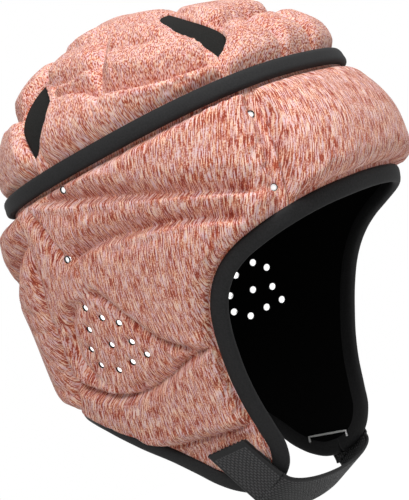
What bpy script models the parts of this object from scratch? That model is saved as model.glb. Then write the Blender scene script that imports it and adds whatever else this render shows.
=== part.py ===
"""Rugby headgear: lining panels, knit-covered foam pads, a crown band, edge bindings and a chin strap.

The pieces are laid on a head form. A place on the form is a turn in degrees and a level. The turn runs
from the middle of the brow, positive towards the wearer's right. The level is 0 at the crown band,
a share of the tab drop below it, and runs to -1 at the top of the crown above it.
"""

import math
from bisect import bisect_left
from functools import lru_cache

import bmesh
import bpy
import numpy as np
from mathutils import Matrix, Vector

# Head form, which is the outer face of the lining, in metres
HALF_WIDTH = 0.0803
FRONT_REACH = 0.1080
REAR_REACH = 0.1020
CROWN_RISE = 0.0640
TAB_DROP = 0.1900

# Walls and seams
LINING_THICKNESS = 0.0015
SEAM_GAP = 0.0006
SEAT_GAP = 0.0006
TAB_COVER_THICKNESS = 0.0030

# Pads
SIDE_PAD_HEIGHT = 0.0078
EAR_PAD_HEIGHT = 0.0060
FOREHEAD_PAD_HEIGHT = 0.0130
BACK_PAD_HEIGHT = 0.0115
CROWN_PAD_HEIGHT = 0.0090
GROOVE_WIDTH = 0.0030
CROWN_GROOVE_WIDTH = 0.0020
FOREHEAD_GROOVE_WIDTH = 0.0080
CELL_LENGTH = 0.0220
CROWN_CELL_LENGTH = 0.0155

# Crown band and edge bindings
BAND_WIDTH = 0.0095
BAND_THICKNESS = 0.0060
BINDING_WIDTH = 0.0100
BINDING_THICKNESS = 0.0049
BINDING_SEAM = 0.0008

# Vents and perforations
PERFORATION_DIAMETER = 0.0040
VENT_OVERRUN = 0.0140
FRONT_VENT_WIDTH = 0.0170
REAR_VENT_WIDTH = 0.0190

# Chin strap
STRAP_WIDTH = 0.0250
STRAP_THICKNESS = 0.0020
STRAP_SAG = 0.0150
STRAP_SETBACK = 0.0080
TONGUE_LENGTH = 0.0290
ANCHOR_LENGTH = 0.0220
PATCH_THICKNESS = 0.0012
PATCH_MARGIN = 0.0015
LEAF_GAP = 0.0003
THREAD_RADIUS = 0.0004
TACK_LEG = 0.0030

# Form sections: share of the tab drop, then the shares of half width, front reach and rear reach there
SECTION_SHARES = (
    (0.000, 1.000, 0.914, 0.859),
    (0.179, 0.984, 1.000, 0.970),
    (0.337, 0.959, 0.978, 0.985),
    (0.511, 0.854, 0.870, 1.045),
    (0.637, 0.758, 0.830, 1.070),
    (0.766, 0.654, 0.810, 0.980),
    (0.919, 0.536, 0.790, 0.765),
    (1.080, 0.400, 0.770, 0.635),
)
PAD_EDGE_SHARE = 0.42
BACK_PAD_EDGE_SHARE = 0.25
BINDING_EDGE_SHARE = 0.72
BAND_RIM_SHARE = 0.70
FOLD_CLEARANCE_SHARE = 0.38
TACK_DROP_SHARE = 0.93

# Lines about which the strap bends, as shares of its thickness: how far the swing line lies under the
# webbing's end, and how far the peel line lies outside and under the middle of its fold
SWING_SHARE = 0.33
PEEL_SHARES = (0.64, 0.41)

# Middle line of the edge binding on the right half, as turn and level shares, from the brow to the tab
# tip, and from the tip to the nape
FACE_EDGE_SHARES = (
    (0, 0.356), (12, 0.358), (24, 0.363), (33, 0.373), (42, 0.389), (49, 0.407), (54.5, 0.431),
    (59, 0.463), (63, 0.507), (66.5, 0.570), (69, 0.638), (71, 0.709), (71.8, 0.784), (71.2, 0.861),
    (71, 0.915), (75.5, 0.958), (85, 0.982), (93.6, 0.989),
)
NECK_EDGE_SHARES = (
    (96.4, 0.989), (108, 0.984), (118, 0.962), (125, 0.930), (131, 0.878), (137.5, 0.812), (143.5, 0.755),
    (148, 0.702), (152.5, 0.652), (158, 0.616), (167, 0.592), (180, 0.582),
)
SEAM_SHARES = ((26, 0), (156, 0))
TIP_CORNER_SHARE = 0.935
LAST_END_SHARE = 1.07

# Grooves between the pads of the right half, as turn and level shares
BAND_EDGE_SHARE = 0.029
UPPER_GROOVE_SHARES = ((118, 0.045), (100, 0.078), (83, 0.121), (58.6, 0.198), (40, 0.272))
TEMPLE_GROOVE_SHARES = ((109, 0.226), (95.5, 0.219), (81.6, 0.232), (62.4, 0.264), (47, 0.315))
FOREHEAD_GROOVE_SHARES = ((29.5, 0.029), (31.5, 0.166), (34.5, 0.325))
REAR_GROOVE_SHARES = ((127, 0.029), (129.5, 0.174), (137, 0.372))
BACK_GROOVE_SHARES = ((180, 0.300), (155, 0.225), (130.5, 0.110))

# Pads of the right half: top side, bottom side, what lies between on the first and the last side, and the
# cage's cells where the area doesn't set them. Where a side follows an edge binding, it is left empty and
# EDGE_RUN_SHARES gives the levels between which it runs.
SIDE_PAD_SHARES = {
    "upper_pad": (
        ((95, BAND_EDGE_SHARE), (64, BAND_EDGE_SHARE), (31, BAND_EDGE_SHARE)),
        ((95, 0.088), (83, 0.121), (58.6, 0.198), (37, 0.283)),
        (),
        ((33.5, 0.166),),
        None,
    ),
    "temple_pad": (UPPER_GROOVE_SHARES, TEMPLE_GROOVE_SHARES, ((114, 0.135),), (), None),
    "cheek_pad": (
        TEMPLE_GROOVE_SHARES[1:],
        ((104, 0.340), (97.5, 0.470), (86, 0.560), (72.5, 0.590)),
        ((102, 0.270),),
        (),
        (4, 4),
    ),
    "ear_pad": (
        ((121, 0.330), (112, 0.322)),
        ((130.5, 0.570), (118, 0.608), (104, 0.606), (92, 0.585)),
        ((129.5, 0.390), (134.5, 0.474)),
        ((106, 0.385), (99.5, 0.500)),
        (3, 4),
    ),
    "jaw_pad": (
        ((150, 0.615), (127, 0.632), (103, 0.643), (84, 0.622), (74, 0.603)),
        ((134.5, 0.790), (107, 0.806), (90, 0.816), (78.5, 0.820)),
        (),
        (),
        None,
    ),
    "rear_pad": (
        ((127, BAND_EDGE_SHARE), (121.5, BAND_EDGE_SHARE)),
        ((136, 0.350), (116, 0.318)),
        REAR_GROOVE_SHARES[1:2],
        ((116.5, 0.125), (113.5, 0.222)),
        None,
    ),
    "mastoid_pad": (
        ((137.5, 0.365), (127, 0.350)),
        ((151, 0.580), (142, 0.605), (131.5, 0.620)),
        ((144.5, 0.470),),
        ((136.5, 0.450), (137.5, 0.530)),
        (2, 4),
    ),
}
EDGE_RUN_SHARES = {
    "cheek_front": (0.40, 0.565),
    "jaw_front": (0.63, 0.80),
    "jaw_rear": (0.64, 0.76),
    "tab_front": (0.85, TIP_CORNER_SHARE),
    "tab_rear": (0.85, TIP_CORNER_SHARE),
}
TAB_TOP_SHARES = ((130.5, 0.812), (107, 0.826), (90, 0.836), (78.5, 0.840))
BACK_PAD_SHARES = {
    "back_upper_pad": (((180, BAND_EDGE_SHARE), (128, BAND_EDGE_SHARE)), BACK_GROOVE_SHARES, ()),
    "back_lower_pad": (BACK_GROOVE_SHARES, (), ((131, 0.174), (139.5, 0.372), (147.5, 0.480))),
}

# Crown pads of the right half, as turns and reaches: top side, bottom side, then what lies between on
# the first and the last side. A reach is 1 at the crown band and 0 at the top.
LOW_GROOVE_SHARES = ((34, 0.953), (47, 0.943), (61, 0.910), (71, 0.879), (81, 0.828), (99, 0.800))
HIGH_GROOVE_SHARES = ((38, 0.765), (43, 0.750), (60, 0.676), (69, 0.700), (77, 0.723), (98, 0.712))
CROWN_PAD_SHARES = {
    "crown_lower_pad": (LOW_GROOVE_SHARES, ((34, 1), (101, 1)), (), ()),
    "crown_middle_front_pad": (HIGH_GROOVE_SHARES[:4], LOW_GROOVE_SHARES[:4], (), ()),
    "crown_middle_rear_pad": (HIGH_GROOVE_SHARES[3:], LOW_GROOVE_SHARES[3:], (), ()),
    "crown_upper_front_pad": (((34, 0.400), (67, 0.385)), HIGH_GROOVE_SHARES[:4], (), ()),
    "crown_upper_rear_pad": (((67, 0.385), (116, 0.385)), (*HIGH_GROOVE_SHARES[3:5], (102, 0.690)), (), ()),
    "crown_front_side_pad": (((22.5, 0.800), (9, 0.790)), ((30.5, 1), (9, 1)), ((26, 0.910),), ()),
    "crown_rear_side_pad": (((121, 0.790), (155, 0.760)), ((112, 1), (155, 1)), ((116, 0.910),), ()),
    "crown_back_pad": (((118, 0.385), (180, 0.385)), ((122, 0.785), (155, 0.760), (180, 0.750)), (), ()),
}
MIDDLE_PAD_SHARES = {
    "crown_front_pad": (((9, 0.790), (-9, 0.790)), ((9, 1), (-9, 1))),
    "crown_peak_pad": (((15, 0.385), (-15, 0.385)), ((22, 0.785), (0, 0.780), (-22, 0.785))),
    "crown_rear_pad": (((155, 0.760), (180, 0.750), (205, 0.760)), ((155, 1), (205, 1))),
}
TOP_PAD_SHARE = 0.38
VENT_SHARES = {
    "front_vent": ((12, 0.440), (30.5, 0.900)),
    "rear_vent": ((112, 0.690), (106, 0.955)),
}

PERFORATION_SHARES = (
    (115.6, 0.352), (111.3, 0.395), (106.0, 0.427), (106.5, 0.487), (104.1, 0.535), (112.8, 0.536),
    (121.3, 0.539), (127.1, 0.506), (125.9, 0.456), (120.3, 0.407), (115.8, 0.470),
)
EYELET_SHARES = ((99.1, 0.046), (111.5, 0.266), (31.0, 0.091), (33.6, 0.291))


def collection(name):
    made = bpy.data.collections.new(name)
    bpy.context.scene.collection.children.link(made)
    return made


def material(name, colour, roughness=0.85):
    """A cloth of one colour, given as linear red, green and blue."""
    made = bpy.data.materials.new(name)
    made.use_nodes = True
    shader = made.node_tree.nodes["Principled BSDF"]
    shader.inputs["Base Color"].default_value = (*colour, 1)
    shader.inputs["Roughness"].default_value = roughness
    shader.inputs["Metallic"].default_value = 0
    return made


@lru_cache(maxsize=None)
def slopes_of(places, values):
    return tuple(float(slope) for slope in np.gradient(values, places))


def smooth(at, places, values):
    """Cubic interpolation of values through places, both given as tuples."""
    slopes = slopes_of(places, values)
    low = min(max(bisect_left(places, at) - 1, 0), len(places) - 2)
    step = places[low + 1] - places[low]
    t = (at - places[low]) / step
    return (
        (2 * t**3 - 3 * t**2 + 1) * values[low]
        + (t**3 - 2 * t**2 + t) * step * slopes[low]
        + (3 * t**2 - 2 * t**3) * values[low + 1]
        + (t**3 - t**2) * step * slopes[low + 1]
    )


def crown_roundness(turn, front=1.68, rear=2.08):
    """The exponent of the crown's outline at a turn: fuller at the rear than at the front."""
    return (front + rear) / 2 - (rear - front) / 2 * math.cos(math.radians(turn))


def squareness(turn, front=2.65, rear=2.3):
    """The exponent of a section's outline at a turn: squarer at the temples than behind the ears."""
    share = min(max(math.cos(math.radians(turn)) / 0.5, 0), 1)
    return rear + (front - rear) * share * share * (3 - 2 * share)


def crown_level(turn, height):
    """The level of the crown at a height over the band's middle."""
    roundness = crown_roundness(turn)
    return (1 - (height / CROWN_RISE) ** roundness) ** (1 / roundness) - 1


def on_form(turn, level):
    """The point of the head form at a turn and a level."""
    drops, widths, fronts, rears = zip(*SECTION_SHARES)
    drop = max(level, 0)
    angle = math.radians(turn)
    half_width = HALF_WIDTH * smooth(drop, drops, widths)
    if math.cos(angle) > 0:
        reach = FRONT_REACH * smooth(drop, drops, fronts)
    else:
        reach = REAR_REACH * smooth(drop, drops, rears)
    power = squareness(turn)
    outline = abs(math.sin(angle) / half_width) ** power + abs(math.cos(angle) / reach) ** power
    radius = outline ** (-1 / power)
    if level >= 0:
        return Vector((-radius * math.sin(angle), -radius * math.cos(angle), -level * TAB_DROP))
    roundness = crown_roundness(turn)
    share = min(max(1 + level, 0), 1)
    rise = CROWN_RISE * (1 - share**roundness) ** (1 / roundness)
    return Vector((-radius * share * math.sin(angle), -radius * share * math.cos(angle), rise))


def outward(turn, level, turn_step=0.5, level_step=0.004):
    """The form's outward normal, from four points close round a place."""
    across = on_form(turn + turn_step, level) - on_form(turn - turn_step, level)
    if level < 0:
        high, low = max(level - level_step, -1), min(level + level_step, -level_step / 10)
    else:
        high, low = max(level - level_step, 0), level + level_step
    down = on_form(turn, low) - on_form(turn, high)
    return across.cross(down).normalized()


def lifted(turn, level, height):
    """The point at a height over the form."""
    return on_form(turn, level) + outward(turn, level) * height


def place_of(point):
    """The turn and level of a point near the form, below the band."""
    return math.degrees(math.atan2(-point.x, -point.y)), -point.z / TAB_DROP


class Rail:
    """A line on the form through chosen places, run from 0 to 1 by its length. It bends smoothly at its
    places, or stays straight between them."""

    def __init__(self, places, straight=False):
        points = [on_form(*place) for place in places]
        steps = [(b - a).length for a, b in zip(points, points[1:])]
        self.length = sum(steps)
        self.shares = tuple(sum(steps[:i]) / self.length for i in range(len(points)))
        self.turns, self.levels = (tuple(map(float, column)) for column in zip(*places))
        self.through = np.interp if straight else smooth

    def at(self, share):
        return np.array([self.through(share, self.shares, column) for column in (self.turns, self.levels)])


def shifted(places, distance, count):
    """Places along a line, moved sideways over the form: positive distances to the right of its run."""
    rail = Rail(places)
    moved = []
    for i in range(count + 1):
        share = i / count
        before = on_form(*rail.at(max(share - 0.5 / count, 0)))
        after = on_form(*rail.at(min(share + 0.5 / count, 1)))
        turn, level = rail.at(share)
        side = (after - before).cross(outward(turn, level)).normalized()
        moved.append(place_of(on_form(turn, level) + side * distance))
    return moved


class Patch:
    """A four-sided area of the form. Its rows run from the first side to the last one."""

    def __init__(self, top, bottom, first=(), last=(), straight=False):
        self.top, self.bottom = Rail(top, straight), Rail(bottom, straight)
        self.first = Rail([top[0], *first, bottom[0]], straight)
        self.last = Rail([top[-1], *last, bottom[-1]], straight)

    def at(self, u, v):
        corners = (
            (1 - u) * (1 - v) * self.top.at(0)
            + u * (1 - v) * self.top.at(1)
            + (1 - u) * v * self.bottom.at(0)
            + u * v * self.bottom.at(1)
        )
        rows = (1 - v) * self.top.at(u) + v * self.bottom.at(u)
        columns = (1 - u) * self.first.at(v) + u * self.last.at(v)
        return rows + columns - corners

    def span(self, along_row, share, samples=6):
        points = [
            on_form(*(self.at(i / samples, share) if along_row else self.at(share, i / samples)))
            for i in range(samples + 1)
        ]
        return sum((b - a).length for a, b in zip(points, points[1:]))

    def inset(self, u, v, row_inset, column_inset):
        """The place at u, v after the sides are drawn in."""
        row_share = min(row_inset / self.span(True, v), 0.45)
        column_share = min(column_inset / self.span(False, u), 0.45)
        return self.at(row_share + u * (1 - 2 * row_share), column_share + v * (1 - 2 * column_share))

    def cells(self, cell_length):
        """Cage cells that suit the area's size, along a row and down a column."""
        return tuple(max(2, round(self.span(way, 0.5) / cell_length)) for way in (True, False))


def laid_grid(name, columns, rows, point_at, weight_at=None, into=None):
    """A grid primitive whose points go where point_at sends their u and v, with its faces outwards."""
    mesh = bpy.data.meshes.new(name)
    sheet = bmesh.new()
    bmesh.ops.create_grid(sheet, x_segments=columns, y_segments=rows, size=0.5)
    weights = sheet.verts.layers.deform.verify() if weight_at else None
    for vertex in sheet.verts:
        u, v = vertex.co.x + 0.5, vertex.co.y + 0.5
        vertex.co = point_at(u, v)
        if weight_at:
            vertex[weights][0] = weight_at(u, v)
    bmesh.ops.remove_doubles(sheet, verts=sheet.verts, dist=1e-7)
    sheet.normal_update()
    centre = Vector((0, 0, min(0, max(vertex.co.z for vertex in sheet.verts))))
    facing = sum(face.normal.dot(face.calc_center_median() - centre) for face in sheet.faces)
    if facing < 0:
        bmesh.ops.reverse_faces(sheet, faces=sheet.faces)
    sheet.to_mesh(mesh)
    sheet.free()
    made = bpy.data.objects.new(name, mesh)
    (into or PARTS).objects.link(made)
    if weight_at:
        made.vertex_groups.new(name="loft")
    mesh.shade_smooth()
    return made


def thicken(made, thickness, side=1, group=""):
    """A closed wall from an open sheet, grown outwards (1) or inwards (-1)."""
    wall = made.modifiers.new("wall", "SOLIDIFY")
    wall.thickness = thickness
    wall.offset = side
    wall.vertex_group = group
    return made


def finish(made, slot):
    made.data.materials.append(MATERIALS[slot])
    return made


def crowned(edge_share=PAD_EDGE_SHARE):
    """Weights of a cage: its rim keeps a share of the height."""

    def weight(u, v):
        inside = 0.001 < u < 0.999 and 0.001 < v < 0.999
        return 1.0 if inside else edge_share

    return weight


def pad(name, patch, height, gaps=(GROOVE_WIDTH, GROOVE_WIDTH), cells=None, edge_share=PAD_EDGE_SHARE):
    """A knit-covered foam pad: a coarse cage drawn smooth onto the form, then lofted to a crown. The gaps
    are those to the pads beside it and to the pads above and below it."""
    columns, rows = cells or patch.cells(CELL_LENGTH)

    def point_at(u, v):
        return lifted(*patch.inset(spread(u), spread(v), gaps[0] / 2, gaps[1] / 2), SEAT_GAP)

    made = laid_grid(name, columns, rows, point_at, crowned(edge_share))
    loft(made, height)
    return finish(made, "melange_knit")


def spread(share, pull=0.62):
    """Draws cage lines out towards the rim, so that a pad's side is steep."""
    away = 1 - 2 * share
    return 0.5 - 0.5 * math.copysign(abs(away) ** pull, away)


def loft(made, height):
    soft = made.modifiers.new("soft", "SUBSURF")
    soft.levels = soft.render_levels = 1
    drape = made.modifiers.new("drape", "SHRINKWRAP")
    drape.target = LAST
    drape.wrap_method = "NEAREST_SURFACEPOINT"
    drape.wrap_mode = "ABOVE_SURFACE"
    drape.offset = SEAT_GAP
    thicken(made, height, 1, "loft")


def mirrored(places):
    return [(-turn, level) for turn, level in places]


def crown_places(places):
    """Turns and reaches on the crown as turns and levels. The reach is 1 at the band and 0 at the top."""
    return [(turn, reach - 1) for turn, reach in places]


def head_last():
    """The head form as a hidden guide that the pads are drawn onto."""

    crown_share = 0.4

    def point_at(u, v):
        if v < crown_share:
            return on_form(360 * u - 180, v / crown_share - 1)
        return on_form(360 * u - 180, (v - crown_share) / (1 - crown_share) * LAST_END_SHARE)

    made = laid_grid("head_last", 120, 110, point_at, into=GUIDES)
    made.hide_render = True
    made.display_type = "WIRE"
    return made


def margins():
    """The lines where the right half's lining stops at the bindings: face edge, then neck edge."""
    inward = BINDING_WIDTH / 2 + BINDING_SEAM
    return shifted(FACE_EDGE_SHARES, inward, 40), shifted(NECK_EDGE_SHARES, inward, 30)


def crossing(margin, turn):
    """The place where a margin reaches a turn."""
    ordered = sorted(margin)
    return turn, float(np.interp(turn, *zip(*ordered)))


def within(line, lowest, highest):
    """The places of a line whose levels lie between two levels."""
    return [place for place in line if lowest < place[1] < highest]


def side_patch():
    """The right side lining's area: brow seam and face edge in front, nape seam and neck edge behind."""
    face, neck = margins()
    tip = TIP_CORNER_SHARE
    brow_turn, nape_turn = SEAM_SHARES[0][0], SEAM_SHARES[1][0]
    front = [place for place in within(face, 0, tip) if place[0] > brow_turn]
    rear = [place for place in within(neck, 0, tip) if place[0] < nape_turn][::-1]
    sole = [*within(face, tip, 1), *within(neck, tip, 1)]
    first = [crossing(face[:20], brow_turn), *front]
    last = [crossing(neck[-15:], nape_turn), *rear]
    return Patch(SEAM_SHARES, sole, first, last, straight=True)


def lining(name, patch, columns, rows, sign=1):
    gap = SEAM_GAP / 2

    def point_at(u, v):
        turn, level = patch.inset(u, v, gap, gap)
        return on_form(sign * turn, level)

    made = laid_grid(name, columns, rows, point_at)
    return finish(thicken(made, LINING_THICKNESS, -1), "black_lining_knit")


def disc_place(u, v, reach):
    """A place on the crown from the u and v of a square that is rounded to a disc."""
    x, y = 2 * u - 1, 2 * v - 1
    across, along = x * math.sqrt(1 - y * y / 2), y * math.sqrt(1 - x * x / 2)
    return math.degrees(math.atan2(across, along)), reach * min(math.hypot(across, along), 1) - 1


def crown_lining():
    rim_share = 1 - SEAM_GAP / CROWN_RISE

    def point_at(u, v):
        point = on_form(*disc_place(u, v, 1))
        return Vector((point.x, point.y, SEAM_GAP + point.z * rim_share))

    made = laid_grid("crown_lining", 15, 15, point_at)
    return finish(thicken(made, LINING_THICKNESS, -1), "black_lining_knit")


def cutter_for(name, made):
    """Keeps a mesh as a hidden cutter."""
    made.name = name
    made.hide_render = True
    made.display_type = "WIRE"
    return made


def cut(target, cutter):
    hole = target.modifiers.new("cut", "BOOLEAN")
    hole.operation = "DIFFERENCE"
    hole.solver = "EXACT"
    hole.object = cutter


def standing(turn, level, depth):
    """A matrix whose Z is the outward normal at a place, its origin depth under the form."""
    normal = outward(turn, level)
    matrix = normal.to_track_quat("Z", "Y").to_matrix().to_4x4()
    matrix.translation = on_form(turn, level) - normal * depth
    return matrix


def perforation_cutter(name, places, length, sides=8):
    mesh = bpy.data.meshes.new(name)
    holes = bmesh.new()
    for turn, level in places:
        bmesh.ops.create_cone(
            holes,
            cap_ends=True,
            segments=sides,
            radius1=PERFORATION_DIAMETER / 2,
            radius2=PERFORATION_DIAMETER / 2,
            depth=length,
            matrix=standing(turn, level, 0),
        )
    holes.to_mesh(mesh)
    holes.free()
    made = bpy.data.objects.new(name, mesh)
    CUTTERS.objects.link(made)
    return cutter_for(name, made)


def vent_cutter(name, ends, width, count=8):
    """A leaf-shaped punch across the crown, pointed at both ends."""
    start, end = ends
    middle = ((start[0] + end[0]) / 2, (start[1] + end[1]) / 2)
    foot, tip = on_form(*start), on_form(*end)
    normal = outward(*middle)
    along = (tip - foot).normalized()
    across = normal.cross(along).normalized()
    normal = along.cross(across).normalized()
    centre = (foot + tip) / 2
    lift = (on_form(*middle) - centre).dot(normal)
    length = (tip - foot).length
    mesh = bpy.data.meshes.new(name)
    punch = bmesh.new()
    shares = [i / count for i in range(count + 1)]
    outline = [(share - 0.5, math.sin(math.pi * share) / 2) for share in shares]
    outline += [(share - 0.5, -math.sin(math.pi * share) / 2) for share in reversed(shares[1:-1])]
    ring = [
        punch.verts.new(centre + normal * (lift - VENT_OVERRUN) + along * (a * length) + across * (b * width))
        for a, b in outline
    ]
    face = punch.faces.new(ring)
    raised = bmesh.ops.extrude_face_region(punch, geom=[face])
    tops = [item for item in raised["geom"] if isinstance(item, bmesh.types.BMVert)]
    bmesh.ops.translate(punch, verts=tops, vec=normal * (2 * VENT_OVERRUN))
    bmesh.ops.recalc_face_normals(punch, faces=punch.faces)
    punch.to_mesh(mesh)
    punch.free()
    made = bpy.data.objects.new(name, mesh)
    CUTTERS.objects.link(made)
    return cutter_for(name, made)


def linings():
    crown = crown_lining()
    widths = {"front_vent": FRONT_VENT_WIDTH, "rear_vent": REAR_VENT_WIDTH}
    for side, sign in (("right", 1), ("left", -1)):
        for name, ends in VENT_SHARES.items():
            places = [(sign * turn, level) for turn, level in crown_places(ends)]
            cut(crown, vent_cutter(f"{name}_cutter_{side}", places, widths[name]))
        panel = lining(f"side_lining_{side}", side_patch(), 9, 16, sign)
        holes = [(sign * turn, level) for turn, level in PERFORATION_SHARES + EYELET_SHARES]
        cut(panel, perforation_cutter(f"lining_punch_{side}", holes, 6 * LINING_THICKNESS))
    face, neck = margins()
    brow_turn, nape_turn = SEAM_SHARES[0][0], SEAM_SHARES[1][0]
    brow = [place for place in face[:20] if place[0] < brow_turn]
    nape = [place for place in neck[-15:] if place[0] > nape_turn]
    end_panel("brow_lining", crossing(face[:20], brow_turn), brow[::-1], 0, 8, 4)
    end_panel("nape_lining", crossing(neck[-15:], nape_turn), nape, 180, 6, 7)


def end_panel(name, corner, margin, middle_turn, columns, rows):
    """A lining panel across the brow or the nape, from its right seam to its left one."""
    across = [(2 * middle_turn - turn, level) for turn, level in reversed([corner, *margin[:-1]])]
    top = [(corner[0], 0), (2 * middle_turn - corner[0], 0)]
    return lining(name, Patch(top, [corner, *margin, *across], straight=True), columns, rows)


def edge_run(name, margin, step=2):
    """The places of a margin that a pad's side follows, from the top down."""
    return sorted(within(margin, *EDGE_RUN_SHARES[name]), key=lambda place: place[1])[::step]


def side_pads(side, sign):
    """The seven pads of one side, from the crown band down to the tab."""
    place = list if sign > 0 else mirrored
    face, neck = margins()
    rear_runs = {"jaw_pad": edge_run("jaw_rear", neck)}
    front_runs = {"cheek_pad": edge_run("cheek_front", face), "jaw_pad": edge_run("jaw_front", face)}
    heights = {"ear_pad": EAR_PAD_HEIGHT}
    pads = {}
    for name, (top, bottom, first, last, cells) in SIDE_PAD_SHARES.items():
        first, last = rear_runs.get(name, first), front_runs.get(name, last)
        patch = Patch(*map(place, (top, bottom, first, last)))
        pads[name] = pad(f"{name}_{side}", patch, heights.get(name, SIDE_PAD_HEIGHT), cells=cells)
    holes = [(sign * turn, level) for turn, level in PERFORATION_SHARES]
    cut(pads["ear_pad"], perforation_cutter(f"ear_punch_{side}", holes, 6 * EAR_PAD_HEIGHT))


def forehead_pad():
    """The tall pad over the brow, with a wide groove on each side."""
    face, _ = margins()
    groove = FOREHEAD_GROOVE_SHARES
    corner = crossing(face[:20], groove[-1][0])
    brow = [place for place in face[:20] if place[0] < corner[0] * 0.88][::-3]
    top = [groove[0], (0, BAND_EDGE_SHARE), *mirrored(groove[:1])]
    bottom = [corner, *brow, *mirrored(brow[-2::-1]), *mirrored([corner])]
    patch = Patch(top, bottom, groove[1:2], mirrored(groove[1:2]))
    pad("forehead_pad", patch, FOREHEAD_PAD_HEIGHT, (FOREHEAD_GROOVE_WIDTH, GROOVE_WIDTH), (6, 4))


def back_pads(side, place):
    """The two pads of one half of the back."""
    _, neck = margins()
    corner_turn = SEAM_SHARES[1][0] * 0.99
    nape = [spot for spot in neck[-15:] if spot[0] > corner_turn][::-2]
    for name, (top, bottom, last) in BACK_PAD_SHARES.items():
        patch = Patch(place(top), place(bottom or nape), (), place(last))
        pad(f"{name}_{side}", patch, BACK_PAD_HEIGHT, cells=(5, 4), edge_share=BACK_PAD_EDGE_SHARE)


def crown_pads():
    """The crown's three rows on each side, the front petal, the rear petal and the round top pad."""
    for side, place in (("right", list), ("left", mirrored)):
        for name, (top, bottom, first, last) in CROWN_PAD_SHARES.items():
            bottom_side = crown_places(bottom) if len(bottom) > 2 or bottom[0][1] < 1 else rim_line(bottom)
            sides = [crown_places(top), bottom_side, crown_places(first), crown_places(last)]
            crown_pad(f"{name}_{side}", Patch(*map(place, sides)))
    for name, (top, bottom) in MIDDLE_PAD_SHARES.items():
        bottom_side = rim_line(bottom) if bottom[0][1] == 1 else crown_places(bottom)
        crown_pad(name, Patch(crown_places(top), bottom_side))
    made = laid_grid(
        "crown_top_pad",
        4,
        4,
        lambda u, v: lifted(*disc_place(spread(u), spread(v), TOP_PAD_SHARE), SEAT_GAP),
        crowned(),
    )
    loft(made, CROWN_PAD_HEIGHT)
    finish(made, "melange_knit")


def crown_pad(name, patch):
    gaps = (CROWN_GROOVE_WIDTH, CROWN_GROOVE_WIDTH)
    return pad(name, patch, CROWN_PAD_HEIGHT, gaps, patch.cells(CROWN_CELL_LENGTH))


def rim_line(ends, count=4):
    """Places just over the crown band, between two turns."""
    turns = [ends[0][0] + (ends[-1][0] - ends[0][0]) * i / count for i in range(count + 1)]
    return [(turn, crown_level(turn, BAND_WIDTH / 2 + SEAM_GAP)) for turn in turns]


def crown_band():
    """The tape round the seam between the crown and the lower panels."""

    def point_at(u, v):
        turn, height = 360 * u - 180, (v - 0.5) * BAND_WIDTH
        level = crown_level(turn, height) if height > 0 else -height / TAB_DROP
        return lifted(turn, level, SEAT_GAP)

    def weight_at(u, v):
        return 1.0 if 0.1 < v < 0.9 else BAND_RIM_SHARE

    made = laid_grid("crown_band", 52, 2, point_at, weight_at)
    return finish(thicken(made, BAND_THICKNESS, 1, "loft"), "binding_tape")


def binding(name, places, count):
    """A folded tape along an edge line, from inside the lining to outside the cover."""
    rail = Rail(places)

    def point_at(u, v):
        turn, level = rail.at(u)
        before = on_form(*rail.at(max(u - 0.5 / count, 0)))
        after = on_form(*rail.at(min(u + 0.5 / count, 1)))
        side = (after - before).cross(outward(turn, level)).normalized()
        spot = place_of(on_form(turn, level) + side * ((v - 0.5) * BINDING_WIDTH))
        return lifted(*spot, -LINING_THICKNESS)

    def weight_at(u, v):
        return 1.0 if 0.1 < v < 0.9 else BINDING_EDGE_SHARE

    made = laid_grid(name, count, 2, point_at, weight_at)
    return finish(thicken(made, BINDING_THICKNESS, 1, "loft"), "binding_tape")


def bindings():
    face = [*reversed(FACE_EDGE_SHARES[1:]), *mirrored(FACE_EDGE_SHARES)]
    neck = [*NECK_EDGE_SHARES, *[(360 - turn, level) for turn, level in reversed(NECK_EDGE_SHARES[:-1])]]
    binding("face_binding", face, 64)
    binding("neck_binding", neck, 46)


def tab_covers():
    """The outer knit of each tab, below the last pad."""
    face, neck = margins()
    front, rear = edge_run("tab_front", face), edge_run("tab_rear", neck)
    sole = [*within(face, TIP_CORNER_SHARE, 1), *within(neck, TIP_CORNER_SHARE, 1)][::-2]
    patch = Patch(TAB_TOP_SHARES, sole, rear, front, straight=True)
    for side, sign in (("right", 1), ("left", -1)):

        def point_at(u, v):
            turn, level = patch.inset(u, v, SEAM_GAP / 2, SEAM_GAP / 2)
            return lifted(sign * turn, level, SEAT_GAP)

        made = laid_grid(f"tab_cover_{side}", 6, 5, point_at)
        finish(thicken(made, TAB_COVER_THICKNESS), "melange_knit")


def tab_point(side, setback, drop, height):
    """A point over a tab's outer face, at a distance behind the head's middle and a drop below the band."""
    level = drop / TAB_DROP
    turn = 90.0
    for _ in range(6):
        radius = math.hypot(*on_form(turn, level).xy)
        turn = 90 + math.degrees(math.asin(setback / radius))
    return lifted(side * turn, level, height)


def strap_leaf(name, slot, side, drops, height, thickness, margin=0, columns=4, rows=4):
    """A flat strip over a tab, as wide as the strap less a margin."""
    half = STRAP_WIDTH / 2 - margin

    def point_at(u, v):
        setback = STRAP_SETBACK + (2 * u - 1) * half
        return tab_point(side, setback, drops[0] + v * (drops[1] - drops[0]), height)

    made = laid_grid(name, columns, rows, point_at)
    return finish(thicken(made, thickness), slot)


def hinge_line(name, point):
    """An empty on the line where the strap bends, for the pieces that swing about it."""
    made = bpy.data.objects.new(name, None)
    made.location = point
    PARTS.objects.link(made)
    return made


def hang(made, hinge):
    """Parents a piece to its hinge line and leaves it where it is."""
    made.parent = hinge
    made.matrix_parent_inverse = Matrix.Translation(-hinge.location)


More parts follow.
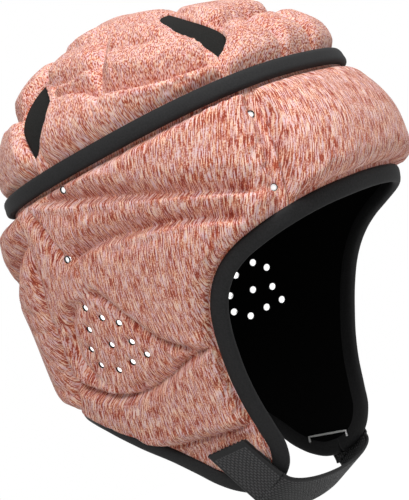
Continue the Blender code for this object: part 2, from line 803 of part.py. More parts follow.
def chin_strap():
    """The strap: sewn to the left tab, under the chin, and fastened on the right tab."""
    cover_top = SEAT_GAP + TAB_COVER_THICKNESS
    loop_height = cover_top + LEAF_GAP
    hook_height = loop_height + PATCH_THICKNESS + LEAF_GAP
    tongue_height = hook_height + PATCH_THICKNESS + LEAF_GAP
    anchor_height = cover_top + LEAF_GAP
    middle = STRAP_THICKNESS / 2
    fold_right = tab_point(1, STRAP_SETBACK, TAB_DROP, tongue_height + middle)
    fold_left = tab_point(-1, STRAP_SETBACK, TAB_DROP, anchor_height + middle)
    anchor_foot = TAB_DROP + fold_left.z - fold_right.z
    tongue_top = TAB_DROP - TONGUE_LENGTH
    patch_foot = FACE_EDGE_SHARES[-1][1] * TAB_DROP - BINDING_WIDTH / 2 - BINDING_SEAM
    patch_drops = (tongue_top + PATCH_MARGIN, patch_foot - PATCH_MARGIN)
    anchor_drops = (TAB_DROP - ANCHOR_LENGTH, anchor_foot)
    strap_leaf("loop_patch", "loop_tape", 1, patch_drops, loop_height, PATCH_THICKNESS, PATCH_MARGIN)
    hooks = strap_leaf("hook_patch", "hook_tape", 1, patch_drops, hook_height, PATCH_THICKNESS, PATCH_MARGIN)
    tongue_drops = (tongue_top, TAB_DROP)
    tongue = strap_leaf("strap_tongue", "strap_webbing", 1, tongue_drops, tongue_height, STRAP_THICKNESS)
    strap_leaf("strap_anchor", "strap_webbing", -1, anchor_drops, anchor_height, STRAP_THICKNESS)
    webbing_top = fold_right.z - STRAP_THICKNESS * FOLD_CLEARANCE_SHARE
    webbing = strap_webbing(fold_right.x, fold_left.x, webbing_top)
    swing_place = (fold_left.x, STRAP_SETBACK, webbing_top - SWING_SHARE * STRAP_THICKNESS)
    peel_offset = Vector((PEEL_SHARES[0], 0, PEEL_SHARES[1])) * STRAP_THICKNESS
    swing = hinge_line("strap_swing_line", Vector(swing_place))
    peel = hinge_line("strap_peel_line", Vector((fold_right.x, STRAP_SETBACK, fold_right.z)) - peel_offset)
    hang(webbing, swing)
    hang(hooks, peel)
    hang(tongue, peel)
    bar_tack()


def strap_webbing(right, left, top):
    """The free run under the chin, half an ellipse between the two folds."""
    middle = STRAP_THICKNESS / 2
    centre = (right + left) / 2
    half_span = (left - right) / 2

    def point_at(u, v):
        angle = math.pi * u
        x = centre - (half_span - middle) * math.cos(angle)
        z = top - (STRAP_SAG - middle) * math.sin(angle)
        return Vector((x, STRAP_SETBACK + (2 * v - 1) * STRAP_WIDTH / 2, z))

    made = laid_grid("strap_webbing", 20, 2, point_at)
    return finish(thicken(made, STRAP_THICKNESS), "strap_webbing")


def bar_tack():
    """The bracket of stitches that holds the strap, on the inner face of the left tab."""
    depth = -(LINING_THICKNESS + LEAF_GAP + THREAD_RADIUS)
    drop = TACK_DROP_SHARE * TAB_DROP
    half = STRAP_WIDTH / 2
    corners = [
        (STRAP_SETBACK - half, drop + TACK_LEG),
        (STRAP_SETBACK - half, drop),
        (STRAP_SETBACK, drop),
        (STRAP_SETBACK + half, drop),
        (STRAP_SETBACK + half, drop + TACK_LEG),
    ]
    curve = bpy.data.curves.new("bar_tack", "CURVE")
    curve.dimensions = "3D"
    curve.bevel_depth = THREAD_RADIUS
    curve.bevel_resolution = 1
    curve.use_fill_caps = True
    spline = curve.splines.new("POLY")
    spline.points.add(len(corners) - 1)
    for point, (setback, fall) in zip(spline.points, corners):
        point.co = (*tab_point(-1, setback, fall, depth), 1)
    made = bpy.data.objects.new("bar_tack", curve)
    PARTS.objects.link(made)
    finish(made, "stitching_thread")


for stale in list(bpy.data.objects):
    bpy.data.objects.remove(stale, do_unlink=True)
PARTS = collection("rugby_headgear")
GUIDES = collection("guides")
CUTTERS = collection("cutters")
MATERIALS = {
    "melange_knit": material("melange_knit", (0.55, 0.27, 0.23)),
    "black_lining_knit": material("black_lining_knit", (0.008, 0.008, 0.008)),
    "binding_tape": material("binding_tape", (0.017, 0.017, 0.018)),
    "strap_webbing": material("strap_webbing", (0.036, 0.036, 0.037)),
    "hook_tape": material("hook_tape", (0.014, 0.014, 0.014)),
    "loop_tape": material("loop_tape", (0.022, 0.022, 0.022), 0.95),
    "stitching_thread": material("stitching_thread", (0.75, 0.75, 0.74)),
}
LAST = head_last()
linings()
side_pads("right", 1)
side_pads("left", -1)
forehead_pad()
back_pads("right", list)
back_pads("left", mirrored)
crown_pads()
crown_band()
bindings()
tab_covers()
chin_strap()
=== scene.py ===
"""Rugby headgear, dressed: melange knit over foam pads, a crown band, bound edges and a webbing chin strap.

A place on the head form is a turn and a level. The turn is in degrees from the middle of the brow and is
positive towards the wearer's right. The level is 0 at the crown band, a share of the tab drop below it, and
runs to -1 at the top of the crown above it. Lengths are in metres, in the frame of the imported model.
"""

import logging
import math
from collections.abc import Callable, Sequence
from dataclasses import dataclass
from enum import Enum

import bpy
import numpy as np
from mathutils import Matrix, Vector
from mathutils.kdtree import KDTree


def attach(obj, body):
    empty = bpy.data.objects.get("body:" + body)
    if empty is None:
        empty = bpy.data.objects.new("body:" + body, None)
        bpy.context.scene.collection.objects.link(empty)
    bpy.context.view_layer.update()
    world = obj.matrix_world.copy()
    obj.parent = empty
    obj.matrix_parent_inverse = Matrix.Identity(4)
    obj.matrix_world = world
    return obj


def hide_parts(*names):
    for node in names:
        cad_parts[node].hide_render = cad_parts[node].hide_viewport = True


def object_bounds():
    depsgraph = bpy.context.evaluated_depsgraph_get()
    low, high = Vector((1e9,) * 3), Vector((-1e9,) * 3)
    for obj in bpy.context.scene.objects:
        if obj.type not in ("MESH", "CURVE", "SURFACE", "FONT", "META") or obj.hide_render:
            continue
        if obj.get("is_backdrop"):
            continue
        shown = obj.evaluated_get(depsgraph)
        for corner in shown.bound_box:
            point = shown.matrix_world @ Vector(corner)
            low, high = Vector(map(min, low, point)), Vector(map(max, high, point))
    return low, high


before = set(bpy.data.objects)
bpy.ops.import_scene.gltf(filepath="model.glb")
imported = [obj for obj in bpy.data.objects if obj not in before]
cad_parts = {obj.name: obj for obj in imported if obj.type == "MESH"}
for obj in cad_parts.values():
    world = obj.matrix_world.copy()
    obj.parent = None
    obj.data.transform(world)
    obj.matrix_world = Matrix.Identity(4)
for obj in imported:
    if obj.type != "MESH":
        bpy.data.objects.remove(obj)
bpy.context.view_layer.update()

LOG = logging.getLogger("headgear")
Place = tuple[float, float]
Places = Sequence[Place]
Stop = tuple[float, str]
MM = 0.001
TINY = 1e-12  # keeps a length of zero out of a division
MERGE = 1e-7


class Body(Enum):
    """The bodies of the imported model."""

    SHELL = "shell"
    CHIN_STRAP = "chin_strap"
    STRAP_END = "strap_end"


class Side(Enum):
    """The two halves of the headgear, with the sign of their turns."""

    RIGHT = 1
    LEFT = -1

    @property
    def word(self) -> str:
        """The name's last word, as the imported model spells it."""
        return self.name.lower()


# Colours and materials


def linear(code: str) -> tuple[float, float, float, float]:
    """Turns an sRGB hex value into linear colour.

    Args:
        code: six hex digits after a hash.

    Returns:
        Red, green, blue and an alpha of 1.
    """
    shares = [int(code[i : i + 2], 16) / 255 for i in (1, 3, 5)]
    return (*(s / 12.92 if s <= 0.04045 else ((s + 0.055) / 1.055) ** 2.4 for s in shares), 1.0)


def add_node(
    tree: bpy.types.NodeTree, kind: str, settings: dict | None = None, inputs: dict | None = None
) -> bpy.types.Node:
    """Adds a node with its settings and links.

    Args:
        tree: the material's or world's node tree.
        kind: the node's type after "ShaderNode".
        settings: its properties by name, and a colour ramp's positions with their hex colours under "stops".
        inputs: its sockets by name or number, each with a value or with the socket that feeds it.

    Returns:
        The new node.
    """
    made = tree.nodes.new("ShaderNode" + kind)
    for name, value in (settings or {}).items():
        if name == "stops":
            set_stops(made.color_ramp.elements, value)
        else:
            setattr(made, name, value)
    for name, value in (inputs or {}).items():
        if isinstance(value, bpy.types.NodeSocket):
            tree.links.new(value, made.inputs[name])
        else:
            made.inputs[name].default_value = value
    return made


def set_stops(elements: bpy.types.bpy_prop_collection, stops: Sequence[Stop]) -> None:
    """Gives a colour ramp its positions and hex colours."""
    while len(elements) < len(stops):
        elements.new(0.5)
    for element, (position, code) in zip(elements, stops):
        element.position = position
        element.color = linear(code)


def new_material(name: str) -> tuple[bpy.types.Material, bpy.types.NodeTree, bpy.types.Node]:
    """Starts a material.

    Args:
        name: the material's name.

    Returns:
        The material, its node tree and its Principled shader.
    """
    made = bpy.data.materials.new(name)
    made.use_nodes = True
    return made, made.node_tree, made.node_tree.nodes["Principled BSDF"]


def finish_shader(
    tree: bpy.types.NodeTree,
    shader: bpy.types.Node,
    colour: bpy.types.NodeSocket,
    height: bpy.types.NodeSocket,
    relief: tuple[float, float],
    constants: dict[str, float],
) -> None:
    """Gives a fabric's shader its colour, its relief and its constants.

    Args:
        tree: the node tree.
        shader: the Principled shader.
        colour: what colours it.
        height: how high the surface stands, from 0 to about 1.
        relief: the bump's strength and its distance.
        constants: values for the shader's own sockets by name.
    """
    strength, distance = relief
    bump = add_node(tree, "Bump", {}, {"Strength": strength, "Distance": distance, "Height": height})
    tree.links.new(colour, shader.inputs["Base Color"])
    tree.links.new(bump.outputs["Normal"], shader.inputs["Normal"])
    for name, value in constants.items():
        shader.inputs[name].default_value = value


class Lay(Enum):
    """Which way the knit's streaks run."""

    DOWN = "down"
    ACROSS = "across"


@dataclass(frozen=True)
class MelangeKnit:
    """Brushed polyester jersey of space-dyed yarn, circular knitted: a matt face of short coral and brick
    streaks on pale lilac and beige, with fine wales that catch the light along the streaks."""

    lay: Lay
    streak_width: float = 0.42 * MM
    streak_length: float = 6.5 * MM
    pallor: float = 0.0  # how much less coral yarn there is
    contrast: float = 1.9
    patch_width: float = 5.0 * MM
    patch_length: float = 13.0 * MM
    patching: float = 0.35
    speck: float = 0.5 * MM
    specking: float = 0.7
    tone_width: float = 1.1 * MM
    tone_length: float = 7.0 * MM
    drift: float = 5.0 * MM  # how far the streaks wander
    drift_size: float = 45.0 * MM
    wale: float = 0.9 * MM  # the real wales are 0.6 mm apart, too fine to show at this size
    wale_length: float = 12.6 * MM
    fuzz: float = 0.6  # how much of the relief is brushed fibre
    relief: tuple[float, float] = (0.55, 0.5 * MM)
    stops: tuple[Stop, ...] = (
        (0.32, "#f4dedb"),
        (0.42, "#ebc8bc"),
        (0.50, "#dda28e"),
        (0.58, "#c8745c"),
        (0.70, "#9a4230"),
    )
    tones: tuple[Stop, ...] = ((0.38, "#ecdfe9"), (0.62, "#fdf0dd"))

    def build(self) -> bpy.types.Material:
        """Makes the material.

        Returns:
            The knit, on a UV map in metres: across the streaks, then along them.
        """
        made, tree, shader = new_material(f"melange_knit_{self.lay.value}")
        start = add_node(tree, "TexCoord").outputs["UV"]
        noise = add_node(tree, "TexNoise", {}, {"Vector": start, "Scale": 1 / self.drift_size, "Detail": 1.0})
        noisy = {0: noise.outputs["Color"], 1: (0.5, 0.5, 0.5)}
        centred = add_node(tree, "VectorMath", {"operation": "SUBTRACT"}, noisy)
        wander = {0: centred.outputs[0], "Scale": self.drift}
        pushed = add_node(tree, "VectorMath", {"operation": "SCALE"}, wander)
        spot = add_node(tree, "VectorMath", {"operation": "ADD"}, {0: start, 1: pushed.outputs[0]}).outputs[0]
        streaks = self.stretched(tree, spot, self.streak_width, self.streak_length, 2.5)
        patches = self.stretched(tree, spot, self.patch_width, self.patch_length, 2.0)
        specks = self.stretched(tree, spot, self.speck, 1.6 * self.speck, 1.0)
        level = 0.5 - self.pallor - (self.patching + self.specking + self.contrast) / 2
        for part, amount in ((patches, self.patching), (specks, self.specking), (streaks, self.contrast)):
            terms = {0: part, 1: amount, 2: level}
            level = add_node(tree, "Math", {"operation": "MULTIPLY_ADD"}, terms).outputs[0]
        yarn = add_node(tree, "ValToRGB", {"stops": self.stops}, {"Fac": level})
        shade = self.stretched(tree, spot, self.tone_width, self.tone_length, 1.0)
        tone = add_node(tree, "ValToRGB", {"stops": self.tones}, {"Fac": shade})
        dyed = {0: yarn.outputs["Color"], 1: tone.outputs["Color"]}
        colour = add_node(tree, "VectorMath", {"operation": "MULTIPLY"}, dyed).outputs[0]
        wales = self.stretched(tree, spot, self.wale, self.wale_length, 0.0)
        height = add_node(tree, "Math", {"operation": "MULTIPLY_ADD"}, {0: specks, 1: self.fuzz, 2: wales})
        matt = {"Roughness": 0.88, "Specular IOR Level": 0.25, "Sheen Weight": 0.12, "Sheen Roughness": 0.5}
        finish_shader(tree, shader, colour, height.outputs[0], self.relief, matt)
        return made

    def stretched(
        self,
        tree: bpy.types.NodeTree,
        start: bpy.types.NodeSocket,
        width: float,
        length: float,
        detail: float,
    ) -> bpy.types.NodeSocket:
        """Adds noise drawn out along the streaks.

        Args:
            tree: the node tree.
            start: the coordinates.
            width: the noise's size across the streaks.
            length: its size along them.
            detail: the noise's detail.

        Returns:
            The noise's value.
        """
        counts = (1 / width, 1 / length, 1)
        scaled = add_node(tree, "VectorMath", {"operation": "MULTIPLY"}, {0: start, 1: counts}).outputs[0]
        wanted = {"Vector": scaled, "Scale": 1.0, "Detail": detail, "Roughness": 0.6}
        return add_node(tree, "TexNoise", {}, wanted).outputs["Fac"]


@dataclass(frozen=True)
class PlainCloth:
    """A dyed fabric of one colour, warp knitted or woven: matt, with a fine thread grain that only shows
    where light rakes over it."""

    name: str
    colour: str
    thread: str
    grain: float = 0.8 * MM
    depth: float = 0.2 * MM
    roughness: float = 0.9
    strength: float = 0.35
    sheen: float = 0.05
    gloss: float = 0.3
    glow: float = 0.0  # painted light: an even glow that keeps the material bright in shade, standing in for the light that a translucent material passes on from its other side

    def build(self) -> bpy.types.Material:
        """Makes the material.

        Returns:
            The fabric, on Object coordinates.
        """
        made, tree, shader = new_material(self.name)
        spot = add_node(tree, "TexCoord").outputs["Object"]
        noise = add_node(tree, "TexNoise", {}, {"Vector": spot, "Scale": 1 / self.grain, "Detail": 2.0})
        height = noise.outputs["Fac"]
        stops = ((0.35, self.colour), (0.7, self.thread))
        colour = add_node(tree, "ValToRGB", {"stops": stops}, {"Fac": height}).outputs["Color"]
        matt = {"Roughness": self.roughness, "Specular IOR Level": self.gloss, "Sheen Weight": self.sheen}
        finish_shader(tree, shader, colour, height, (self.strength, self.depth), matt)
        # painted light: the material glows in its own lighter colour, whatever lamps reach it
        if self.glow:
            shader.inputs["Emission Color"].default_value = linear(self.thread)
            shader.inputs["Emission Strength"].default_value = self.glow
        return made


@dataclass(frozen=True)
class RibbedWebbing:
    """Woven polyester webbing, 25 mm wide: rows of short raised floats run along it, each row half a step
    off the last, between two smooth selvedges."""

    width: float = 0.025
    row: float = 1.45 * MM
    step: float = 2.3 * MM
    selvedge: float = 1.6 * MM
    border: float = 0.0  # how much of the end is heat sealed and plain
    relief: tuple[float, float] = (0.9, 0.5 * MM)
    fullness: float = 0.7  # below 1, a float's sides stand steeper than a sine's
    # painted shade and highlight: the colours follow the relief, darkest between the floats and lightest on
    # their tops; the selvedges and the sealed end take the darkest colour
    stops: tuple[Stop, ...] = ((0.0, "#0e0e0f"), (0.35, "#1e1e1f"), (0.8, "#424243"))

    def build(self) -> bpy.types.Material:
        """Makes the material.

        Returns:
            The webbing, on a UV map in metres: across the strap, then along it.
        """
        made, tree, shader = new_material("strap_webbing" if not self.border else "strap_webbing_sealed_end")
        uv = add_node(tree, "TexCoord").outputs["UV"]
        split = add_node(tree, "SeparateXYZ", {}, {0: uv})
        across, along = split.outputs["X"], split.outputs["Y"]
        rows = add_node(tree, "Math", {"operation": "DIVIDE"}, {0: across, 1: self.row}).outputs[0]
        number = add_node(tree, "Math", {"operation": "FLOOR"}, {0: rows}).outputs[0]
        shift = add_node(tree, "Math", {"operation": "MULTIPLY"}, {0: number, 1: 0.5}).outputs[0]
        steps = add_node(tree, "Math", {"operation": "DIVIDE"}, {0: along, 1: self.step}).outputs[0]
        staggered = add_node(tree, "Math", {"operation": "ADD"}, {0: steps, 1: shift}).outputs[0]
        hump = self.hump(tree, rows)
        float_hump = self.hump(tree, staggered)
        raised = add_node(tree, "Math", {"operation": "MULTIPLY"}, {0: hump, 1: float_hump}).outputs[0]
        middle = add_node(tree, "Math", {"operation": "SUBTRACT"}, {0: across, 1: self.width / 2}).outputs[0]
        away = add_node(tree, "Math", {"operation": "ABSOLUTE"}, {0: middle}).outputs[0]
        inner_half = self.width / 2 - self.selvedge
        woven = add_node(tree, "Math", {"operation": "LESS_THAN"}, {0: away, 1: inner_half}).outputs[0]
        if self.border:
            past = add_node(tree, "Math", {"operation": "GREATER_THAN"}, {0: along, 1: self.border})
            both = {0: woven, 1: past.outputs[0]}
            woven = add_node(tree, "Math", {"operation": "MULTIPLY"}, both).outputs[0]
        height = add_node(tree, "Math", {"operation": "MULTIPLY"}, {0: raised, 1: woven}).outputs[0]
        # painted shade and highlight: the colour is read from the floats' height
        colour = add_node(tree, "ValToRGB", {"stops": self.stops}, {"Fac": height}).outputs["Color"]
        satin = {"Roughness": 0.7, "Specular IOR Level": 0.35}
        finish_shader(tree, shader, colour, height, self.relief, satin)
        return made

    def hump(self, tree: bpy.types.NodeTree, count: bpy.types.NodeSocket) -> bpy.types.NodeSocket:
        """Adds a row of humps, one for each whole step of a count.

        Args:
            tree: the node tree.
            count: the running count.

        Returns:
            A value from 0 between two humps to 1 on top of one.
        """
        part = add_node(tree, "Math", {"operation": "FRACT"}, {0: count}).outputs[0]
        turned = add_node(tree, "Math", {"operation": "MULTIPLY"}, {0: part, 1: math.pi}).outputs[0]
        wave = add_node(tree, "Math", {"operation": "SINE"}, {0: turned}).outputs[0]
        return add_node(tree, "Math", {"operation": "POWER"}, {0: wave, 1: self.fullness}).outputs[0]


LINING_CLOTH = PlainCloth(
    "black_lining_knit", "#040404", "#080808", roughness=0.95, strength=0.2, sheen=0.0, gloss=0.08
)
TAPE = PlainCloth("binding_tape", "#131314", "#1f1f20", grain=0.9 * MM, roughness=0.8, sheen=0.0)
HOOKS = PlainCloth("hook_tape", "#161616", "#2a2a2a", grain=0.7 * MM, strength=0.9)
LOOPS = PlainCloth("loop_tape", "#1a1a1a", "#333333", grain=0.9 * MM, strength=0.8, sheen=0.2)
VENT_MESH = PlainCloth("vent_mesh", "#191918", "#242423", grain=0.7 * MM, roughness=0.9, sheen=0.0, gloss=0.1)
# painted light: the foam glows so that the hole walls and plugs stay white in shade; the real foam passes on
# only some light
FOAM = PlainCloth(
    "eva_foam", "#f4f4f2", "#ffffff", grain=1.0 * MM, roughness=0.6, strength=0.1, sheen=0.0, glow=0.7
)
THREAD = PlainCloth("stitching_thread", "#e8e8e6", "#ffffff", grain=0.5 * MM, roughness=0.6)


# Head form


def shares_of(columns: int, rows: int) -> tuple[np.ndarray, np.ndarray]:
    """A grid's shares along the rows and down the columns, point by point.

    Args:
        columns: its faces along a row.
        rows: its faces down a column.

    Returns:
        Both shares, from 0 to 1, row after row.
    """
    along, down = np.meshgrid(np.linspace(0, 1, columns + 1), np.linspace(0, 1, rows + 1))
    return along.ravel(), down.ravel()


def smooth(at: np.ndarray, places: Sequence[float], values: Sequence[float]) -> np.ndarray:
    """Cubic interpolation.

    Args:
        at: where to read it.
        places: the rising places of the values.
        values: the values.

    Returns:
        The values at those places.
    """
    places, values = np.asarray(places, float), np.asarray(values, float)
    slopes = np.gradient(values, places)
    low = np.clip(np.searchsorted(places, at) - 1, 0, len(places) - 2)
    step = places[low + 1] - places[low]
    t = (at - places[low]) / step
    return (
        (2 * t**3 - 3 * t**2 + 1) * values[low]
        + (t**3 - 2 * t**2 + t) * step * slopes[low]
        + (3 * t**2 - 2 * t**3) * values[low + 1]
        + (t**3 - t**2) * step * slopes[low + 1]
    )


def eased(t: np.ndarray) -> np.ndarray:
    """A smooth step from 0 to 1."""
    t = np.clip(t, 0, 1)
    return t * t * (3 - 2 * t)


@dataclass(frozen=True)
class HeadForm:
    """The outer face of the lining, which every other layer is laid on."""

    half_width: float = 0.0803
    front_reach: float = 0.1080
    rear_reach: float = 0.1020
    crown_rise: float = 0.0640
    tab_drop: float = 0.1900
    temple_squareness: float = 2.65
    rear_squareness: float = 2.30
    front_power: float = 1.56
    rear_power: float = 1.86
    sections: tuple[tuple[float, ...], ...] = (
        (0.000, 1.000, 0.914, 0.859),
        (0.179, 0.984, 1.000, 0.970),
        (0.337, 0.959, 0.978, 0.985),
        (0.511, 0.854, 0.870, 1.045),
        (0.637, 0.758, 0.830, 1.070),
        (0.766, 0.654, 0.810, 0.980),
        (0.919, 0.536, 0.790, 0.765),
        (1.080, 0.400, 0.770, 0.635),
    )

    def points(self, turns: np.ndarray, levels: np.ndarray) -> np.ndarray:
        """Points of the form.

        Args:
            turns: turns in degrees.
            levels: levels.

        Returns:
            One row of x, y and z for each place.
        """
        turns, levels = np.broadcast_arrays(np.asarray(turns, float), np.asarray(levels, float))
        drops, widths, fronts, rears = zip(*self.sections)
        angle = np.radians(turns)
        drop = np.maximum(levels, 0)
        across = self.half_width * smooth(drop, drops, widths)
        ahead = self.front_reach * smooth(drop, drops, fronts)
        behind = self.rear_reach * smooth(drop, drops, rears)
        reach = np.where(np.cos(angle) > 0, ahead, behind)
        power = self.squareness(turns)
        shares = np.abs(np.sin(angle) / across) ** power + np.abs(np.cos(angle) / reach) ** power
        radius = shares ** (-1 / power)
        bend = self.crown_power(turns)
        share = np.where(levels < 0, np.clip(1 + levels, 0, 1), 1)
        rise = self.crown_rise * np.maximum(1 - share**bend, 0) ** (1 / bend)
        height = np.where(levels < 0, rise, -levels * self.tab_drop)
        return np.stack([-radius * share * np.sin(angle), -radius * share * np.cos(angle), height], axis=-1)

    def squareness(self, turns: np.ndarray) -> np.ndarray:
        """How square the lower sections are at a turn: squarer at the temples than behind the ears."""
        share = eased(np.cos(np.radians(turns)) / 0.5)
        return self.rear_squareness + (self.temple_squareness - self.rear_squareness) * share

    def crown_power(self, turns: np.ndarray) -> np.ndarray:
        """How square the crown's outline is at a turn."""
        middle, swing = (self.front_power + self.rear_power) / 2, (self.rear_power - self.front_power) / 2
        return middle - swing * np.cos(np.radians(turns))

    def crown_level(self, turn: float, height: float) -> float:
        """The level of the crown at a height over the band's middle."""
        power = float(self.crown_power(np.array(turn)))
        return (1 - (height / self.crown_rise) ** power) ** (1 / power) - 1

    def normals(self, turns: np.ndarray, levels: np.ndarray) -> np.ndarray:
        """Outward normals of the form.

        Args:
            turns: turns in degrees.
            levels: levels.

        Returns:
            One unit row for each place.
        """
        turn_step, level_step = 0.5, 0.004
        crown = levels < 0
        high = np.where(crown, np.maximum(levels - level_step, -1), np.maximum(levels - level_step, 0))
        low = np.where(crown, np.minimum(levels + level_step, -level_step / 10), levels + level_step)
        across = self.points(turns + turn_step, levels) - self.points(turns - turn_step, levels)
        down = self.points(turns, low) - self.points(turns, high)
        normal = np.cross(across, down)
        length = np.linalg.norm(normal, axis=-1, keepdims=True)
        return np.where(length > TINY, normal / np.maximum(length, TINY), np.array([0.0, 0.0, 1.0]))

    def lifted(self, turns: np.ndarray, levels: np.ndarray, heights: np.ndarray | float) -> np.ndarray:
        """Points at heights over the form.

        Args:
            turns: turns in degrees.
            levels: levels.
            heights: heights along the normals.

        Returns:
            One row of x, y and z for each place.
        """
        turns, levels = np.broadcast_arrays(np.asarray(turns, float), np.asarray(levels, float))
        heights = np.broadcast_to(np.asarray(heights, float), turns.shape)
        return self.points(turns, levels) + self.normals(turns, levels) * heights[..., None]


FORM = HeadForm()


def place_of(points: np.ndarray) -> tuple[np.ndarray, np.ndarray]:
    """The turns and levels of points near the form, below the band."""
    return np.degrees(np.arctan2(-points[..., 0], -points[..., 1])), -points[..., 2] / FORM.tab_drop


def flipped(places: Places) -> list[Place]:
    """The same places on the other half."""
    return [(-turn, level) for turn, level in places]


def past_nape(places: Places) -> list[Place]:
    """The same places on the other half, counted on past the nape."""
    return [(360 - turn, level) for turn, level in places]


class Rail:
    """A line on the form through chosen places, run from 0 to 1 by its length."""

    def __init__(self, places: Places, straight: bool = False) -> None:
        """Measures the line.

        Args:
            places: the places that it goes through.
            straight: whether it stays straight between them.
        """
        self.turns, self.levels = np.array(places, float).T
        points = FORM.points(self.turns, self.levels)
        steps = np.linalg.norm(np.diff(points, axis=0), axis=1)
        self.length = float(steps.sum())
        self.shares = np.concatenate([[0], np.cumsum(steps)]) / self.length
        self.straight = straight

    def at(self, shares: np.ndarray) -> np.ndarray:
        """Turns and levels at shares of the length, as two rows."""
        through = np.interp if self.straight or len(self.shares) < 3 else smooth
        return np.stack([through(shares, self.shares, self.turns), through(shares, self.shares, self.levels)])

    def frames(self, shares: np.ndarray) -> tuple[np.ndarray, np.ndarray, np.ndarray]:
        """Follows the line.

        Args:
            shares: where along it.

        Returns:
            Its points, the form's normals there and the directions to the right of its run.
        """
        step = 0.004
        turns, levels = self.at(shares)
        ahead = FORM.points(*self.at(np.minimum(shares + step, 1)))
        behind = FORM.points(*self.at(np.maximum(shares - step, 0)))
        normals = FORM.normals(turns, levels)
        sides = np.cross(ahead - behind, normals)
        sides /= np.maximum(np.linalg.norm(sides, axis=1, keepdims=True), TINY)
        return FORM.points(turns, levels), normals, sides

    def shifted(self, distance: float, count: int) -> list[Place]:
        """The line moved to the right of its run over the form.

        Args:
            distance: how far, in metres.
            count: how many steps it keeps.

        Returns:
            The moved places.
        """
        points, _, sides = self.frames(np.linspace(0, 1, count + 1))
        return [tuple(place) for place in np.stack(place_of(points + sides * distance), axis=1)]


class Patch:
    """A four-sided area of the form, with rows from its first side to its last one."""

    def __init__(
        self, top: Places, bottom: Places, first: Places = (), last: Places = (), straight: bool = False
    ) -> None:
        """Lays out the area.

        Args:
            top: its top side.
            bottom: its bottom side.
            first: what the first side passes between the two.
            last: what the last side passes between the two.
            straight: whether its sides stay straight between their places.
        """
        self.top, self.bottom = Rail(top, straight), Rail(bottom, straight)
        self.first = Rail([top[0], *first, bottom[0]], straight)
        self.last = Rail([top[-1], *last, bottom[-1]], straight)

    def at(self, u: np.ndarray, v: np.ndarray) -> tuple[np.ndarray, np.ndarray]:
        """Turns and levels at shares along the rows and down the columns."""
        ends = np.array([0.0, 1.0])
        (top_a, top_b), (bottom_a, bottom_b) = self.top.at(ends).T, self.bottom.at(ends).T
        corners = (
            np.outer(top_a, (1 - u) * (1 - v))
            + np.outer(top_b, u * (1 - v))
            + np.outer(bottom_a, (1 - u) * v)
            + np.outer(bottom_b, u * v)
        )
        rows = (1 - v) * self.top.at(u) + v * self.bottom.at(u)
        columns = (1 - u) * self.first.at(v) + u * self.last.at(v)
        return tuple(rows + columns - corners)


# Lines of the pattern, as turn and level shares of the right half

FACE_EDGE: Places = (
    (0, 0.356), (12, 0.358), (24, 0.363), (33, 0.373), (42, 0.389), (49, 0.407), (54.5, 0.431), (59, 0.463),
    (63, 0.507), (66.5, 0.570), (69, 0.638), (71, 0.709), (71.8, 0.784), (71.2, 0.861), (71, 0.915),
    (75.5, 0.958), (85, 0.982), (94.9, 0.989),
)
NECK_EDGE: Places = (
    (95.1, 0.989), (108, 0.984), (118, 0.962), (125, 0.930), (131, 0.878), (137.5, 0.812), (143.5, 0.755),
    (148, 0.702), (152.5, 0.652), (158, 0.616), (167, 0.592), (180, 0.582),
)
TIP_LEVEL = 0.935
BROW_SPLIT: Places = ((27.0, 0.0), (28.6, 0.150), (31.0, 0.300))
REAR_SPLIT: Places = ((127.5, 0.0), (129.7, 0.174), (137.5, 0.372), (149.0, 0.560))
EAR_LEAF: Places = (
    (112, 0.322), (121, 0.330), (129.5, 0.390), (134.5, 0.474), (131.5, 0.560), (120, 0.606), (104, 0.603),
    (93.5, 0.575), (99.5, 0.490), (106, 0.385),
)
TAB_CREASE: Places = ((136, 0.790), (128, 0.800), (107, 0.816), (90, 0.826), (74, 0.828))
BREATHING_HOLES: Places = (
    (115.6, 0.352), (111.3, 0.395), (106.0, 0.427), (106.5, 0.487), (104.1, 0.535), (112.8, 0.536),
    (121.3, 0.539), (127.1, 0.506), (125.9, 0.456), (120.3, 0.407), (115.8, 0.470),
)
GROOVE_EYELETS: Places = ((99.1, 0.046), (111.1, 0.217), (31.0, 0.091), (33.6, 0.291))
BACK_GROOVE: Places = ((180, 0.300), (155, 0.225), (130.5, 0.110))
CROWN_LOW: Places = ((32, 0.955), (47, 0.943), (61, 0.910), (71, 0.879), (81, 0.828), (99, 0.800))
CROWN_HIGH: Places = ((36, 0.765), (43, 0.750), (60, 0.676), (69, 0.700), (77, 0.723), (98, 0.712))


@dataclass(frozen=True)
class Sizes:
    """Sizes that the pieces share."""

    flange: float = 1.3 * MM  # knit, backing and film where there is no foam
    flange_at_hole: float = 1.04 * MM
    seat: float = 0.3 * MM
    side_pad: float = 9.6 * MM
    ear_pad: float = 6.2 * MM
    tab_pad: float = 3.6 * MM
    forehead_pad: float = 12.0 * MM
    back_pad: float = 11.6 * MM
    crown_pad: float = 11.0 * MM
    lining: float = 1.5 * MM
    band_width: float = 8.6 * MM
    band_height: float = 6.0 * MM
    binding_width: float = 9.4 * MM
    binding_height: float = 3.6 * MM
    hole: float = 4.0 * MM
    strap_width: float = 25.0 * MM
    strap_thickness: float = 2.0 * MM


SIZES = Sizes()
BAND_SEAM = 6.4 * MM  # how far from the middle of the crown band the pads begin to rise


def closest(points: np.ndarray, line: np.ndarray) -> tuple[np.ndarray, np.ndarray]:
    """Finds the nearest sample of a line.

    Args:
        points: the points to measure from.
        line: the line's samples.

    Returns:
        The distances and the numbers of the samples.
    """
    squares = (points**2).sum(1)[:, None] + (line**2).sum(1)[None, :] - 2 * points @ line.T
    nearest = squares.argmin(1)
    return np.linalg.norm(points - line[nearest], axis=1), nearest


